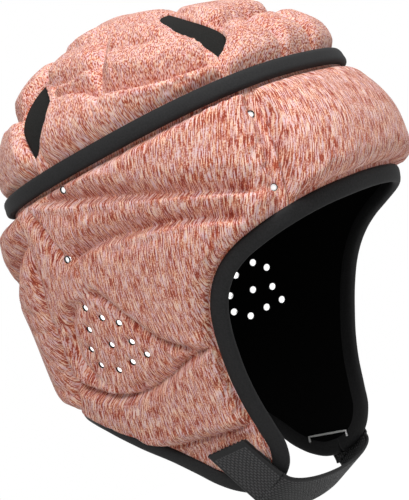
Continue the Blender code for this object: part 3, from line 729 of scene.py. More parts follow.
@dataclass(frozen=True)
class Groove:
    """A welded line between two foam blocks, where the knit dips towards the lining.

    The pad on the left of its run slopes gently into it and the pad on the right has a crisp edge.
    """

    places: Places
    depth: float = 1.0
    floor: float = 0.6 * MM
    slope: float = 10.0 * MM
    edge: float = 3.6 * MM
    fade: float = 0.0
    straight: bool = False

    def factor(self, points: np.ndarray, side: Side) -> tuple[np.ndarray, np.ndarray]:
        """How much of a pad's height is left near the groove.

        Args:
            points: points of the form.
            side: the half that the groove is on.

        Returns:
            The factors from 0 to 1, and the distances to the groove.
        """
        rail = Rail(self.places if side is Side.RIGHT else flipped(self.places), self.straight)
        count = max(8, round(rail.length / MM))
        shares = np.linspace(0, 1, count + 1)
        line, _, sides = rail.frames(shares)
        distance, nearest = closest(points, line)
        signed = ((points - line[nearest]) * sides[nearest]).sum(1) * side.value
        right = eased(0.5 + signed / (2 * MM))
        away = np.maximum(distance - self.floor, 0)
        gentle = np.sin(np.clip(away / self.slope, 0, 1) * math.pi / 2) ** 0.9
        crisp = np.sqrt(1 - (1 - np.clip(away / self.edge, 0, 1)) ** 2)
        rise = right * crisp + (1 - right) * gentle
        depth = self.depth
        if self.fade:
            along = np.minimum(shares, 1 - shares)[nearest] * rail.length
            depth = depth * (0.15 + 0.85 * eased(along / self.fade))
        return 1 - depth * (1 - rise), distance


def inside(turns: np.ndarray, levels: np.ndarray, loop: Places) -> np.ndarray:
    """Which places lie in a closed loop of places."""
    found = np.zeros(len(turns), bool)
    corners = list(loop)
    for (turn_a, level_a), (turn_b, level_b) in zip(corners, corners[1:] + corners[:1]):
        if level_a == level_b:
            continue
        crosses = (level_a > levels) != (level_b > levels)
        found ^= crosses & (turns < (turn_b - turn_a) * (levels - level_a) / (level_b - level_a) + turn_a)
    return found


# Work in the viewport


def deselect_all() -> None:
    """Leaves nothing selected."""
    for piece in bpy.context.selected_objects:
        piece.select_set(False)


def pick(*pieces: bpy.types.Object) -> None:
    """Selects pieces and makes the first one active."""
    deselect_all()
    for piece in pieces:
        piece.select_set(True)
    bpy.context.view_layer.objects.active = pieces[0]


def edit(action: Callable[[], object]) -> None:
    """Runs an action in edit mode on the active piece."""
    bpy.ops.object.mode_set(mode="EDIT")
    action()
    bpy.ops.object.mode_set(mode="OBJECT")


def apply_modifiers(piece: bpy.types.Object) -> None:
    """Applies every modifier of a piece, in order."""
    pick(piece)
    for modifier in list(piece.modifiers):
        bpy.ops.object.modifier_apply(modifier=modifier.name)


def coordinates(piece: bpy.types.Object) -> np.ndarray:
    """The piece's vertices, one row each."""
    flat = np.empty(len(piece.data.vertices) * 3)
    piece.data.vertices.foreach_get("co", flat)
    return flat.reshape(-1, 3)


def move_to(piece: bpy.types.Object, points: np.ndarray) -> None:
    """Moves the piece's vertices to these points."""
    piece.data.vertices.foreach_set("co", np.ascontiguousarray(points, np.float32).ravel())
    piece.data.update()


def new_grid(name: str, columns: int, rows: int, points: np.ndarray) -> bpy.types.Object:
    """Adds a grid primitive and shapes it.

    Args:
        name: the piece's name.
        columns: its faces along a row.
        rows: its faces down a column.
        points: its points, row after row.

    Returns:
        The piece.
    """
    deselect_all()
    bpy.ops.mesh.primitive_grid_add(x_subdivisions=columns, y_subdivisions=rows, size=1, calc_uvs=False)
    piece = bpy.context.object
    piece.name = piece.data.name = name
    move_to(piece, points.reshape(-1, 3))
    return piece


def face_outwards(piece: bpy.types.Object) -> None:
    """Turns a closed mesh's faces outwards."""
    pick(piece)

    def recalculate() -> None:
        """Recalculates all normals."""
        bpy.ops.mesh.select_all(action="SELECT")
        bpy.ops.mesh.remove_doubles(threshold=MERGE)
        bpy.ops.mesh.normals_make_consistent(inside=False)

    edit(recalculate)


def closed_between(
    name: str, columns: int, rows: int, outer: np.ndarray, inner: np.ndarray
) -> bpy.types.Object:
    """Closes a body between an outer and an inner grid of points.

    Args:
        name: the piece's name.
        columns: the grid's faces along a row.
        rows: its faces down a column.
        outer: the outer points.
        inner: the inner points.

    Returns:
        The closed piece.
    """
    piece = new_grid(name, columns, rows, outer)
    pick(piece)
    bpy.ops.object.duplicate()
    back = bpy.context.object
    move_to(back, inner)
    pick(piece, back)
    bpy.ops.object.join()

    def bridge() -> None:
        """Joins the two rims."""
        bpy.ops.mesh.select_mode(type="EDGE")
        bpy.ops.mesh.select_all(action="DESELECT")
        bpy.ops.mesh.select_non_manifold()
        bpy.ops.mesh.bridge_edge_loops()

    edit(bridge)
    face_outwards(piece)
    return piece


def write_uv(piece: bpy.types.Object, pairs: np.ndarray) -> None:
    """Writes a UV map in metres.

    Args:
        piece: the piece.
        pairs: one pair for each vertex.
    """
    while piece.data.uv_layers:
        piece.data.uv_layers.remove(piece.data.uv_layers[0])
    layer = piece.data.uv_layers.new(name="UVMap")
    corners = np.empty(len(piece.data.loops), np.int32)
    piece.data.loops.foreach_get("vertex_index", corners)
    layer.data.foreach_set("uv", np.ascontiguousarray(pairs[corners], np.float32).ravel())


def map_by_nearest(piece: bpy.types.Object, outer: np.ndarray, inner: np.ndarray, pairs: np.ndarray) -> None:
    """Writes the UV map of a piece whose vertices were merged or cut.

    Args:
        piece: the piece.
        outer: the outer points that it was made from.
        inner: the inner ones.
        pairs: the UV values of each row of points, in metres.
    """
    points = np.concatenate([outer, inner])
    tree = KDTree(len(points))
    for number, point in enumerate(points):
        tree.insert(point, number)
    tree.balance()
    found = [tree.find(vertex.co)[1] % len(pairs) for vertex in piece.data.vertices]
    write_uv(piece, pairs[found])


def standing(turn: float, level: float) -> Matrix:
    """A matrix on the form whose Z is the outward normal at a place."""
    turns, levels = np.array([turn]), np.array([level])
    normal = Vector(FORM.normals(turns, levels)[0])
    matrix = normal.to_track_quat("Z", "Y").to_matrix().to_4x4()
    matrix.translation = Vector(FORM.points(turns, levels)[0])
    return matrix


class Dresser:
    """Gives finished pieces their material and body."""

    def __init__(self) -> None:
        """Builds each material once."""
        self.knit_down = MelangeKnit(Lay.DOWN).build()
        self.knit_across = MelangeKnit(
            Lay.ACROSS,
            streak_width=0.34 * MM,
            streak_length=2.0 * MM,
            contrast=1.3,
            specking=1.2,
            tone_length=2.5 * MM,
            pallor=0.015,
        ).build()
        self.lining = LINING_CLOTH.build()
        self.tape = TAPE.build()
        self.webbing = RibbedWebbing().build()
        self.sealed_webbing = RibbedWebbing(border=3.6 * MM).build()
        self.hooks = HOOKS.build()
        self.loops = LOOPS.build()
        self.foam = FOAM.build()
        self.thread = THREAD.build()
        self.mesh = VENT_MESH.build()

    def dress(
        self,
        piece: bpy.types.Object,
        material: bpy.types.Material,
        body: Body,
        nodes: Sequence[str] = (),
    ) -> bpy.types.Object:
        """Finishes a piece.

        Args:
            piece: the piece.
            material: its finish.
            body: the body that it rides on.
            nodes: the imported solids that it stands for.

        Returns:
            The piece.
        """
        if not piece.data.materials:
            piece.data.materials.append(material)
        else:
            piece.data.materials[0] = material
        if piece.type == "MESH":
            piece.data.shade_smooth()
        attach(piece, body.value)
        if nodes:
            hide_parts(*nodes)
        LOG.info("%s: %d faces", piece.name, len(piece.data.polygons) if piece.type == "MESH" else 0)
        return piece


PUNCH_SIDES = 20
PUNCH_LENGTH = 50 * MM


def join_at_origin(pieces: Sequence[bpy.types.Object]) -> bpy.types.Object:
    """Joins placed pieces into one object at the origin."""
    pick(*pieces)
    bpy.ops.object.join()
    bpy.ops.object.transform_apply(location=True, rotation=True, scale=True)
    return bpy.context.object


def punch_holes(piece: bpy.types.Object, places: Places) -> None:
    """Punches the breathing holes and the eyelets through a piece.

    Args:
        piece: the piece.
        places: where the holes are.
    """
    if not places:
        return
    rods = []
    for turn, level in places:
        deselect_all()
        bpy.ops.mesh.primitive_cylinder_add(vertices=PUNCH_SIDES, radius=SIZES.hole / 2, depth=PUNCH_LENGTH)
        rod = bpy.context.object
        rod.matrix_world = standing(turn, level)
        rods.append(rod)
    cut_with(piece, join_at_origin(rods))


def cut_with(piece: bpy.types.Object, tool: bpy.types.Object) -> None:
    """Cuts a tool out of a piece and removes the tool.

    Args:
        piece: the piece.
        tool: the cutter, a closed mesh.
    """
    cut = piece.modifiers.new("cut", "BOOLEAN")
    cut.operation = "DIFFERENCE"
    cut.solver = "EXACT"
    cut.object = tool
    apply_modifiers(piece)
    bpy.data.objects.remove(tool, do_unlink=True)


SIMULATED_FRAMES = 20
PIN_STEPS = 10  # weights are given in tenths
CLOTH = {
    "mass": 0.02,
    "tension_stiffness": 12,
    "compression_stiffness": 12,
    "shear_stiffness": 5,
    "bending_stiffness": 0.05,
    "shrink_min": -0.035,
    "quality": 4,
}


@dataclass(kw_only=True)
class Cover:
    """A padded panel: the knit drawn over its foam blocks, down to the lining in the grooves."""

    name: str
    patch: Patch
    columns: int
    rows: int
    pad: float
    grooves: Sequence[Groove]
    nodes: Sequence[str]
    side: Side = Side.RIGHT
    holes: Sequence[Place] = ()
    lean: float = math.radians(20)  # how far the cut's grain leans back on its way down
    swell: float = 1.0 * MM
    pressure: float = 60.0
    fill: float = 0.8
    still: float = 3.0 * MM  # how far round a hole the cloth stays as it was laid
    dimple: float = 0.9 * MM
    dimple_reach: float = 3.0 * MM

    def places(self, u: np.ndarray, v: np.ndarray) -> tuple[np.ndarray, np.ndarray]:
        """The turns and levels of the panel's grid."""
        turns, levels = self.patch.at(u, v)
        return turns * self.side.value, levels

    def pad_heights(self, points: np.ndarray, turns: np.ndarray, levels: np.ndarray) -> np.ndarray:
        """The foam's height before the grooves."""
        return np.full(len(turns), self.pad)

    def heights(self, turns: np.ndarray, levels: np.ndarray) -> tuple[np.ndarray, np.ndarray]:
        """The outer face's heights over the form.

        Args:
            turns: turns of the grid.
            levels: levels of the grid.

        Returns:
            The heights, and the share of the pad's height that each point has.
        """
        points = FORM.points(turns, levels)
        share = np.ones(len(turns))
        for groove in self.grooves:
            factor, _ = groove.factor(points, self.side)
            share *= factor
        full = self.pad_heights(points, turns, levels)
        height = SIZES.flange + (full - SIZES.flange) * share
        for turn, level in self.holes:
            spot = FORM.points(np.array([turn * self.side.value]), np.array([level]))
            distance = np.linalg.norm(points - spot, axis=1)
            dimple = self.dimple * np.exp(-((distance / self.dimple_reach) ** 2))
            height = np.maximum(height - dimple, SIZES.flange_at_hole)
        return height, share

    def swollen(self, outer: np.ndarray, share: np.ndarray) -> np.ndarray:
        """Lets the cloth swell between its welded lines.

        Args:
            outer: the outer points as first laid.
            share: the share of the pad's height at each point.

        Returns:
            The outer points, swollen.
        """
        shape = (self.rows + 1, self.columns + 1)
        coarse = outer.reshape(*shape, 3)[::2, ::2]
        free = share.reshape(shape)[::2, ::2].ravel()
        start = coarse.reshape(-1, 3)
        cloth = new_grid(f"{self.name}_cloth", self.columns // 2, self.rows // 2, start)
        pins = cloth.vertex_groups.new(name="welded")
        weight = np.clip(1.15 - 1.6 * free, 0, 1)  # held in the grooves, free on the pads
        for step in range(1, PIN_STEPS + 1):
            chosen = np.flatnonzero(np.round(weight * PIN_STEPS) == step)
            if len(chosen):
                pins.add(chosen.tolist(), step / PIN_STEPS, "REPLACE")
        rim = np.ones((self.rows // 2 + 1, self.columns // 2 + 1), bool)
        rim[1:-1, 1:-1] = False
        pins.add(np.flatnonzero(rim.ravel()).tolist(), 1.0, "REPLACE")
        if self.facing_in(cloth):
            cloth.data.flip_normals()
        self.blow(cloth)
        moved = coordinates(cloth) - start
        bpy.data.objects.remove(cloth, do_unlink=True)
        size = np.linalg.norm(moved, axis=1, keepdims=True)
        moved *= np.minimum(1, self.swell / np.maximum(size, TINY))
        moved[rim.ravel()] = 0
        for turn, level in self.holes:
            here, there = np.array([turn * self.side.value]), np.array([level])
            spot = FORM.lifted(here, there, self.heights(here, there)[0])
            away = np.linalg.norm(start - spot, axis=1, keepdims=True) - SIZES.hole / 2
            moved *= eased(away / self.still)
        LOG.info("%s swells by up to %.2f mm", self.name, size.max() / MM)
        return outer + self.spread_out(moved.reshape(rim.shape + (3,)), shape)

    def facing_in(self, cloth: bpy.types.Object) -> bool:
        """Whether the sheet's faces look towards the head."""
        centre = Vector((0, 0, min(0.0, max(corner.co.z for corner in cloth.data.vertices))))
        return sum(face.normal.dot(face.center - centre) for face in cloth.data.polygons) < 0

    def blow(self, cloth: bpy.types.Object) -> None:
        """Runs the cloth simulation and applies it.

        Args:
            cloth: the sheet, with its welded lines in the group "welded".
        """
        stuffing = cloth.modifiers.new("stuffing", "CLOTH")
        settings = stuffing.settings
        settings.vertex_group_mass = "welded"
        settings.use_pressure = True
        settings.uniform_pressure_force = self.pressure
        settings.effector_weights.gravity = 0
        for name, value in CLOTH.items():
            setattr(settings, name, value)
        for moment in range(1, SIMULATED_FRAMES + 1):
            bpy.context.scene.frame_set(moment)
        apply_modifiers(cloth)
        bpy.context.scene.frame_set(1)

    def spread_out(self, moved: np.ndarray, shape: tuple[int, int]) -> np.ndarray:
        """Carries the coarse sheet's moves over to the full grid.

        Args:
            moved: the moves on every other row and column.
            shape: the full grid's rows and columns of points.

        Returns:
            One move for each point of the full grid.
        """
        rows, columns = np.arange(shape[0]) / 2, np.arange(shape[1]) / 2
        high, left = np.floor(rows).astype(int), np.floor(columns).astype(int)
        low, right = np.minimum(high + 1, moved.shape[0] - 1), np.minimum(left + 1, moved.shape[1] - 1)
        down, over = (rows - high)[:, None, None], (columns - left)[None, :, None]
        upper = moved[high][:, left] * (1 - over) + moved[high][:, right] * over
        lower = moved[low][:, left] * (1 - over) + moved[low][:, right] * over
        return (upper * (1 - down) + lower * down).reshape(-1, 3)

    def build(self, dresser: Dresser) -> None:
        """Makes the panel.

        Args:
            dresser: what finishes it.
        """
        turns, levels = self.places(*shares_of(self.columns, self.rows))
        height, share = self.heights(turns, levels)
        outer = self.swollen(FORM.lifted(turns, levels, height), share)
        inner = FORM.lifted(turns, levels, SIZES.seat)
        piece = closed_between(self.name, self.columns, self.rows, outer, inner)
        self.trim(piece)
        punch_holes(piece, [(turn * self.side.value, level) for turn, level in self.holes])
        map_by_nearest(piece, outer, inner, self.cloth_map(turns, levels))
        dresser.dress(piece, self.finish(dresser), Body.SHELL, self.nodes)

    def trim(self, piece: bpy.types.Object) -> None:
        """Cuts what the panel leaves open. A plain panel has nothing to cut."""

    def finish(self, dresser: Dresser) -> bpy.types.Material:
        """The knit whose streaks run down."""
        return dresser.knit_down

    def cloth_map(self, turns: np.ndarray, levels: np.ndarray) -> np.ndarray:
        """Lays the cut cloth flat round the panel's middle.

        Args:
            turns: turns of the grid.
            levels: levels of the grid.

        Returns:
            Places across the grain and along it, in metres.
        """
        middle = float(turns[len(turns) // 2])
        reach = np.linalg.norm(FORM.points(np.full(len(levels), middle), levels)[:, :2], axis=1)
        across, along = np.radians(turns - middle) * self.side.value * reach, levels * FORM.tab_drop
        cosine, sine = math.cos(self.lean), math.sin(self.lean)
        return np.stack([across * cosine - along * sine, across * sine + along * cosine], axis=1)


COVER_MARGIN = 1.5 * MM  # how far inside an edge the covers stop, under the bindings
FACE_STEPS, NECK_STEPS = 60, 44
BROW_PART, NAPE_PART = slice(0, 30), slice(-25, None)  # of the face's and the neck's steps, near the splits
RUN_ON_SHARE = 0.25


def margins() -> tuple[list[Place], list[Place]]:
    """The lines where the covers stop: along the face edge, then along the neck edge."""
    face = Rail(FACE_EDGE).shifted(COVER_MARGIN, FACE_STEPS)
    return face, Rail(NECK_EDGE).shifted(COVER_MARGIN, NECK_STEPS)


def split_corner(split: Places, margin: Places) -> Place:
    """The place where a split line, run on from its last place, meets a margin."""
    turn = split[-1][0] + (split[-1][0] - split[-2][0]) * RUN_ON_SHARE
    return turn, float(np.interp(turn, *zip(*sorted(margin))))


def side_patch() -> Patch:
    """The right side panel's area, from the brow split to the rear split and down to the tab's tip."""
    face, neck = margins()
    brow_corner = split_corner(BROW_SPLIT, face[BROW_PART])
    rear_corner = split_corner(REAR_SPLIT, neck[NAPE_PART])
    front = [place for place in face if brow_corner[0] < place[0] and brow_corner[1] < place[1] < TIP_LEVEL]
    rear = [place for place in neck if place[0] < rear_corner[0] and rear_corner[1] < place[1] < TIP_LEVEL]
    sole = [place for place in (*face, *neck) if place[1] >= TIP_LEVEL]
    first, last = [*BROW_SPLIT[1:], brow_corner, *front], [*REAR_SPLIT[1:], rear_corner, *rear[::-1]]
    return Patch([BROW_SPLIT[0], REAR_SPLIT[0]], sole, first, last, straight=True)


@dataclass(kw_only=True)
class SideCover(Cover):
    """The knit over one side's seven pads and the tab."""

    blend: float = 5.0 * MM  # how soon the foam's height changes
    leaf_samples: int = 160
    crease_samples: int = 120

    def pad_heights(self, points: np.ndarray, turns: np.ndarray, levels: np.ndarray) -> np.ndarray:
        """The foam's height: thinner in the ear leaf and on the tab."""
        turns = turns * self.side.value
        heights = np.full(len(turns), self.pad)
        loop = Rail([*EAR_LEAF, EAR_LEAF[0]])
        samples = loop.at(np.linspace(0, 1, self.leaf_samples))
        line = FORM.points(samples[0] * self.side.value, samples[1])
        distance, _ = closest(points, line)
        signed = np.where(inside(turns, levels, list(zip(*samples))), distance, -distance)
        heights += (SIZES.ear_pad - self.pad) * eased(0.5 + signed / self.blend)
        crease = Rail(TAB_CREASE).at(np.linspace(0, 1, self.crease_samples))
        drop = np.interp(turns, crease[0][::-1], crease[1][::-1])
        below = (levels - drop) * FORM.tab_drop
        heights += (SIZES.tab_pad - heights) * eased(0.5 + below / self.blend)
        return heights


UPPER_GROOVE: Places = ((113.5, 0.040), (100, 0.078), (83.0, 0.121), (58.6, 0.198), (37.0, 0.284))
LOWER_GROOVE: Places = (
    (111, 0.240), (106.9, 0.229), (95.5, 0.219), (81.6, 0.232), (62.4, 0.264), (43.0, 0.328),
)
EYELET_GROOVE: Places = ((120.8, 0.028), (115.1, 0.125), (112.5, 0.222))
CHEEK_GROOVE: Places = ((112, 0.318), (107.8, 0.340), (101.5, 0.430), (95.5, 0.510), (80.7, 0.592))
JAW_GROOVE: Places = (
    (147, 0.500), (139.5, 0.560), (131.5, 0.606), (120.7, 0.626), (105.5, 0.620), (87, 0.598), (70, 0.592),
)
LEAF_GROOVE: Places = ((119, 0.322), (128.5, 0.385), (134.5, 0.470), (133.5, 0.560))
SIDE_GROOVES: tuple[Groove, ...] = (
    Groove(((132, 0), (90, 0), (60, 0), (20, 0)), floor=BAND_SEAM, slope=3 * MM, edge=3 * MM),
    Groove(UPPER_GROOVE, fade=6 * MM, slope=13 * MM, edge=2.2 * MM),
    Groove(LOWER_GROOVE, fade=5 * MM, slope=13 * MM, edge=2.2 * MM),
    Groove(EYELET_GROOVE, depth=0.8, slope=6 * MM, edge=6 * MM, fade=6 * MM),
    Groove(((28.5, 0.0), (30.5, 0.166), (33.5, 0.345)), floor=2.5 * MM, slope=13 * MM, edge=13 * MM),
    Groove(CHEEK_GROOVE, depth=0.85, slope=9 * MM, edge=6 * MM, fade=9 * MM),
    Groove(JAW_GROOVE, depth=0.95, slope=9 * MM, edge=3.4 * MM, fade=12 * MM),
    Groove(LEAF_GROOVE, depth=0.7, slope=6 * MM, edge=6 * MM, fade=9 * MM),
    Groove(TAB_CREASE, depth=0.9, floor=0.4 * MM, slope=9 * MM, edge=2.0 * MM),
    Groove(FACE_EDGE, floor=6.0 * MM, slope=7 * MM, edge=7 * MM),
    Groove(NECK_EDGE, floor=6.0 * MM, slope=6 * MM, edge=6 * MM),
    Groove(REAR_SPLIT, floor=0.8 * MM, slope=8 * MM, edge=8 * MM),
)


def side_cover(side: Side) -> SideCover:
    """The cover of one side.

    Args:
        side: the half.

    Returns:
        The cover, not built yet.
    """
    pads = ("upper", "temple", "cheek", "ear", "jaw", "rear", "mastoid")
    stems = [*(f"{pad}_pad" for pad in pads), "tab_cover"]
    return SideCover(
        name=f"side_cover_{side.word}",
        patch=side_patch(),
        columns=176,
        rows=190,
        pad=SIZES.side_pad,
        grooves=SIDE_GROOVES,
        nodes=[f"{stem}_{side.word}" for stem in stems],
        side=side,
        holes=BREATHING_HOLES + GROOVE_EYELETS,
    )


@dataclass(kw_only=True)
class BrowCover(Cover):
    """The knit over the forehead pad, whose foam thickens from the crown band down."""

    band_share: float = 0.42  # of the full height, at the band
    full_level: float = 0.22

    def pad_heights(self, points: np.ndarray, turns: np.ndarray, levels: np.ndarray) -> np.ndarray:
        """The foam's height, full from one level down."""
        return self.pad * (self.band_share + (1 - self.band_share) * eased(levels / self.full_level))


def brow_cover() -> BrowCover:
    """The cover of the forehead pad, not built yet."""
    face, _ = margins()
    corner = split_corner(BROW_SPLIT, face[BROW_PART])
    half = [corner, *[place for place in face[BROW_PART] if 0.5 < place[0] < corner[0]][::-1]]
    top = [BROW_SPLIT[0], *flipped(BROW_SPLIT[:1])]
    patch = Patch(top, [*half, *flipped(half[::-1])], BROW_SPLIT[1:], flipped(BROW_SPLIT[1:]), straight=True)
    edge = [*flipped(FACE_EDGE[8:0:-1]), *FACE_EDGE[:9]]
    side_line = [*BROW_SPLIT, corner]
    return BrowCover(
        name="brow_cover",
        patch=patch,
        columns=110,
        rows=70,
        pad=SIZES.forehead_pad,
        grooves=(
            Groove(((32, 0), (0, 0), (-32, 0)), floor=BAND_SEAM, slope=9 * MM, edge=9 * MM),
            Groove(edge, floor=6.5 * MM, slope=6.5 * MM, edge=6.5 * MM),
            Groove(side_line, floor=1.2 * MM, slope=4.2 * MM, edge=4.2 * MM),
            Groove(flipped(side_line), floor=1.2 * MM, slope=4.2 * MM, edge=4.2 * MM),
        ),
        nodes=["forehead_pad"],
    )


def back_cover() -> Cover:
    """The cover of the back pads, not built yet."""
    _, neck = margins()
    corner = split_corner(REAR_SPLIT, neck[NAPE_PART])
    half = [corner, *(place for place in neck if corner[0] < place[0] < 179.5)]
    bottom = [*half, *past_nape(half[::-1])]
    last = past_nape(REAR_SPLIT)
    patch = Patch([REAR_SPLIT[0], last[0]], bottom, REAR_SPLIT[1:], last[1:], straight=True)
    neck_line = [*NECK_EDGE[5:], *past_nape(NECK_EDGE[-2:4:-1])]
    side_line = [*REAR_SPLIT, corner]
    return Cover(
        name="back_cover",
        patch=patch,
        columns=170,
        rows=104,
        pad=SIZES.back_pad,
        grooves=(
            Groove([(turn, 0) for turn in range(120, 241, 30)], floor=BAND_SEAM, slope=9 * MM, edge=9 * MM),
            Groove(neck_line, floor=6.0 * MM, slope=12 * MM, edge=12 * MM),
            Groove(side_line, floor=1.5 * MM, slope=12 * MM, edge=12 * MM),
            Groove(past_nape(side_line), floor=1.5 * MM, slope=12 * MM, edge=12 * MM),
            Groove(
                [*past_nape(BACK_GROOVE[::-1]), *BACK_GROOVE[1:]], floor=1.5 * MM, slope=13 * MM, edge=11 * MM
            ),
            Groove(((180, 0.0), (180, 0.30), (180, 0.60)), floor=1.5 * MM, slope=11 * MM, edge=11 * MM),
        ),
        nodes=[f"back_{row}_pad_{side.word}" for row in ("upper", "lower") for side in Side],
        lean=0.0,
    )


# Crown


def crown_line(places: Places) -> list[Place]:
    """Turns and reaches on the crown, 1 at the band and 0 at the top, as turns and levels."""
    return [(turn, reach - 1) for turn, reach in places]


@dataclass(frozen=True)
class Vent:
    """A leaf-shaped air vent across the crown, covered with mesh and open through the lining."""

    start: Place
    end: Place
    width: float
    bulges: tuple[float, float]  # how far down its front and its rear side are widest
    mesh_height: float = 4.4 * MM
    mesh_thickness: float = 0.8 * MM
    mesh_reach: float = 1.12  # how far the mesh runs on under the pads, as a share of its half width
    punch_start: float = 20 * MM  # below the form
    lip_height: float = 5.4 * MM
    lip_width: float = 6.0 * MM

    @property
    def area(self) -> float:
        """About how much it takes out of the lining."""
        turns, reaches = np.array([self.start, self.end]).T
        foot, tip = FORM.points(turns, reaches - 1)
        return float(np.linalg.norm(tip - foot)) * self.width * 2 / math.pi

    def outline(self, side: Side, steps: int = 18) -> np.ndarray:
        """The vent's rim on the form.

        Args:
            side: the half that it is on.
            steps: points on each of its two curves.

        Returns:
            The rim's points and, in the last row, the punch's direction.
        """
        turns, levels = np.array([self.start, self.end]).T * [[side.value], [1]] - [[0], [1]]
        foot, tip = FORM.points(turns, levels)
        normal = FORM.normals(turns.mean(keepdims=True), levels.mean(keepdims=True))[0]
        along = tip - foot
        across = np.cross(normal, along)
        across *= side.value / np.linalg.norm(across)
        normal = np.cross(along / np.linalg.norm(along), across) * side.value
        shares = np.linspace(0, 1, steps)
        curves = []
        for sign, bulge in zip((1, -1), self.bulges):
            bow = np.sin(math.pi * shares ** (math.log(0.5) / math.log(bulge))) * self.width / 2
            curves.append(foot + np.outer(shares, along) + np.outer(sign * bow, across))
        return np.concatenate([curves[0], curves[1][-2:0:-1], [normal]])

    def tool(self, side: Side) -> bpy.types.Object:
        """Makes the vent's punch.

        Args:
            side: the half that it is on.

        Returns:
            A closed prism of the vent's outline.
        """
        rim = self.outline(side)
        outline, normal = rim[:-1], Vector(rim[-1])
        deselect_all()
        bpy.ops.mesh.primitive_circle_add(vertices=len(outline), radius=1, fill_type="NGON")
        piece = bpy.context.object
        move_to(piece, outline - self.punch_start * np.array(normal))

        def raise_top() -> None:
            """Extrudes the outline through the crown."""
            bpy.ops.mesh.select_all(action="SELECT")
            bpy.ops.mesh.extrude_region_move(TRANSFORM_OT_translate={"value": normal * PUNCH_LENGTH})

        edit(raise_top)
        face_outwards(piece)
        return piece

    def mesh(self, side: Side, name: str, dresser: Dresser) -> None:
        """Makes the black mesh that closes the vent, held between the pads' rims.

        Args:
            side: the half that it is on.
            name: the piece's name.
            dresser: what finishes it.
        """
        steps, columns = 30, 10
        rim = self.outline(side, steps + 1)[:-1]
        front = rim[: steps + 1]
        rear = np.concatenate([rim[:1], rim[steps + 1 :][::-1], rim[steps : steps + 1]])
        middle = (front + rear) / 2
        across = np.linspace(-self.mesh_reach, self.mesh_reach, columns + 1)
        spots = middle[:, None] + (front - rear)[:, None] / 2 * across[None, :, None]
        turns, levels = crown_place_of(spots.reshape(-1, 3))
        outer = FORM.lifted(turns, levels, self.mesh_height)
        inner = FORM.lifted(turns, levels, self.mesh_height - self.mesh_thickness)
        piece = closed_between(name, columns, steps, outer, inner)
        dresser.dress(piece, dresser.mesh, Body.SHELL)


def crown_place_of(points: np.ndarray) -> tuple[np.ndarray, np.ndarray]:
    """The turns and levels of points over the crown."""
    turns, _ = place_of(points)
    rim = np.linalg.norm(FORM.points(turns, np.zeros(len(turns)))[:, :2], axis=1)
    return turns, np.minimum(np.linalg.norm(points[:, :2], axis=1) / rim - 1, CROWN_RIM)


CROWN_RIM = -0.0015  # the lowest level of the crown's panels, just over the band's middle
FRONT_VENT = Vent((17.5, 0.44), (31.5, 0.955), 22.0 * MM, (0.74, 0.32))
REAR_VENT = Vent((112.0, 0.62), (106.5, 0.985), 25.0 * MM, (0.52, 0.40))
VENTS = (FRONT_VENT, REAR_VENT)


def cut_vents(piece: bpy.types.Object) -> None:
    """Cuts the four vents out of a piece."""
    for side in Side:
        for vent in VENTS:
            cut_with(piece, vent.tool(side))


def crown_disc(u: np.ndarray, v: np.ndarray) -> tuple[np.ndarray, np.ndarray]:
    """A square grid rounded to the crown's disc, as turns and levels."""
    x, y = 2 * u - 1, 2 * v - 1
    across, along = x * np.sqrt(1 - y * y / 2), y * np.sqrt(1 - x * x / 2)
    reach = np.minimum(np.hypot(across, along), 1)
    return np.degrees(np.arctan2(across, along)), np.minimum(reach - 1, CROWN_RIM)


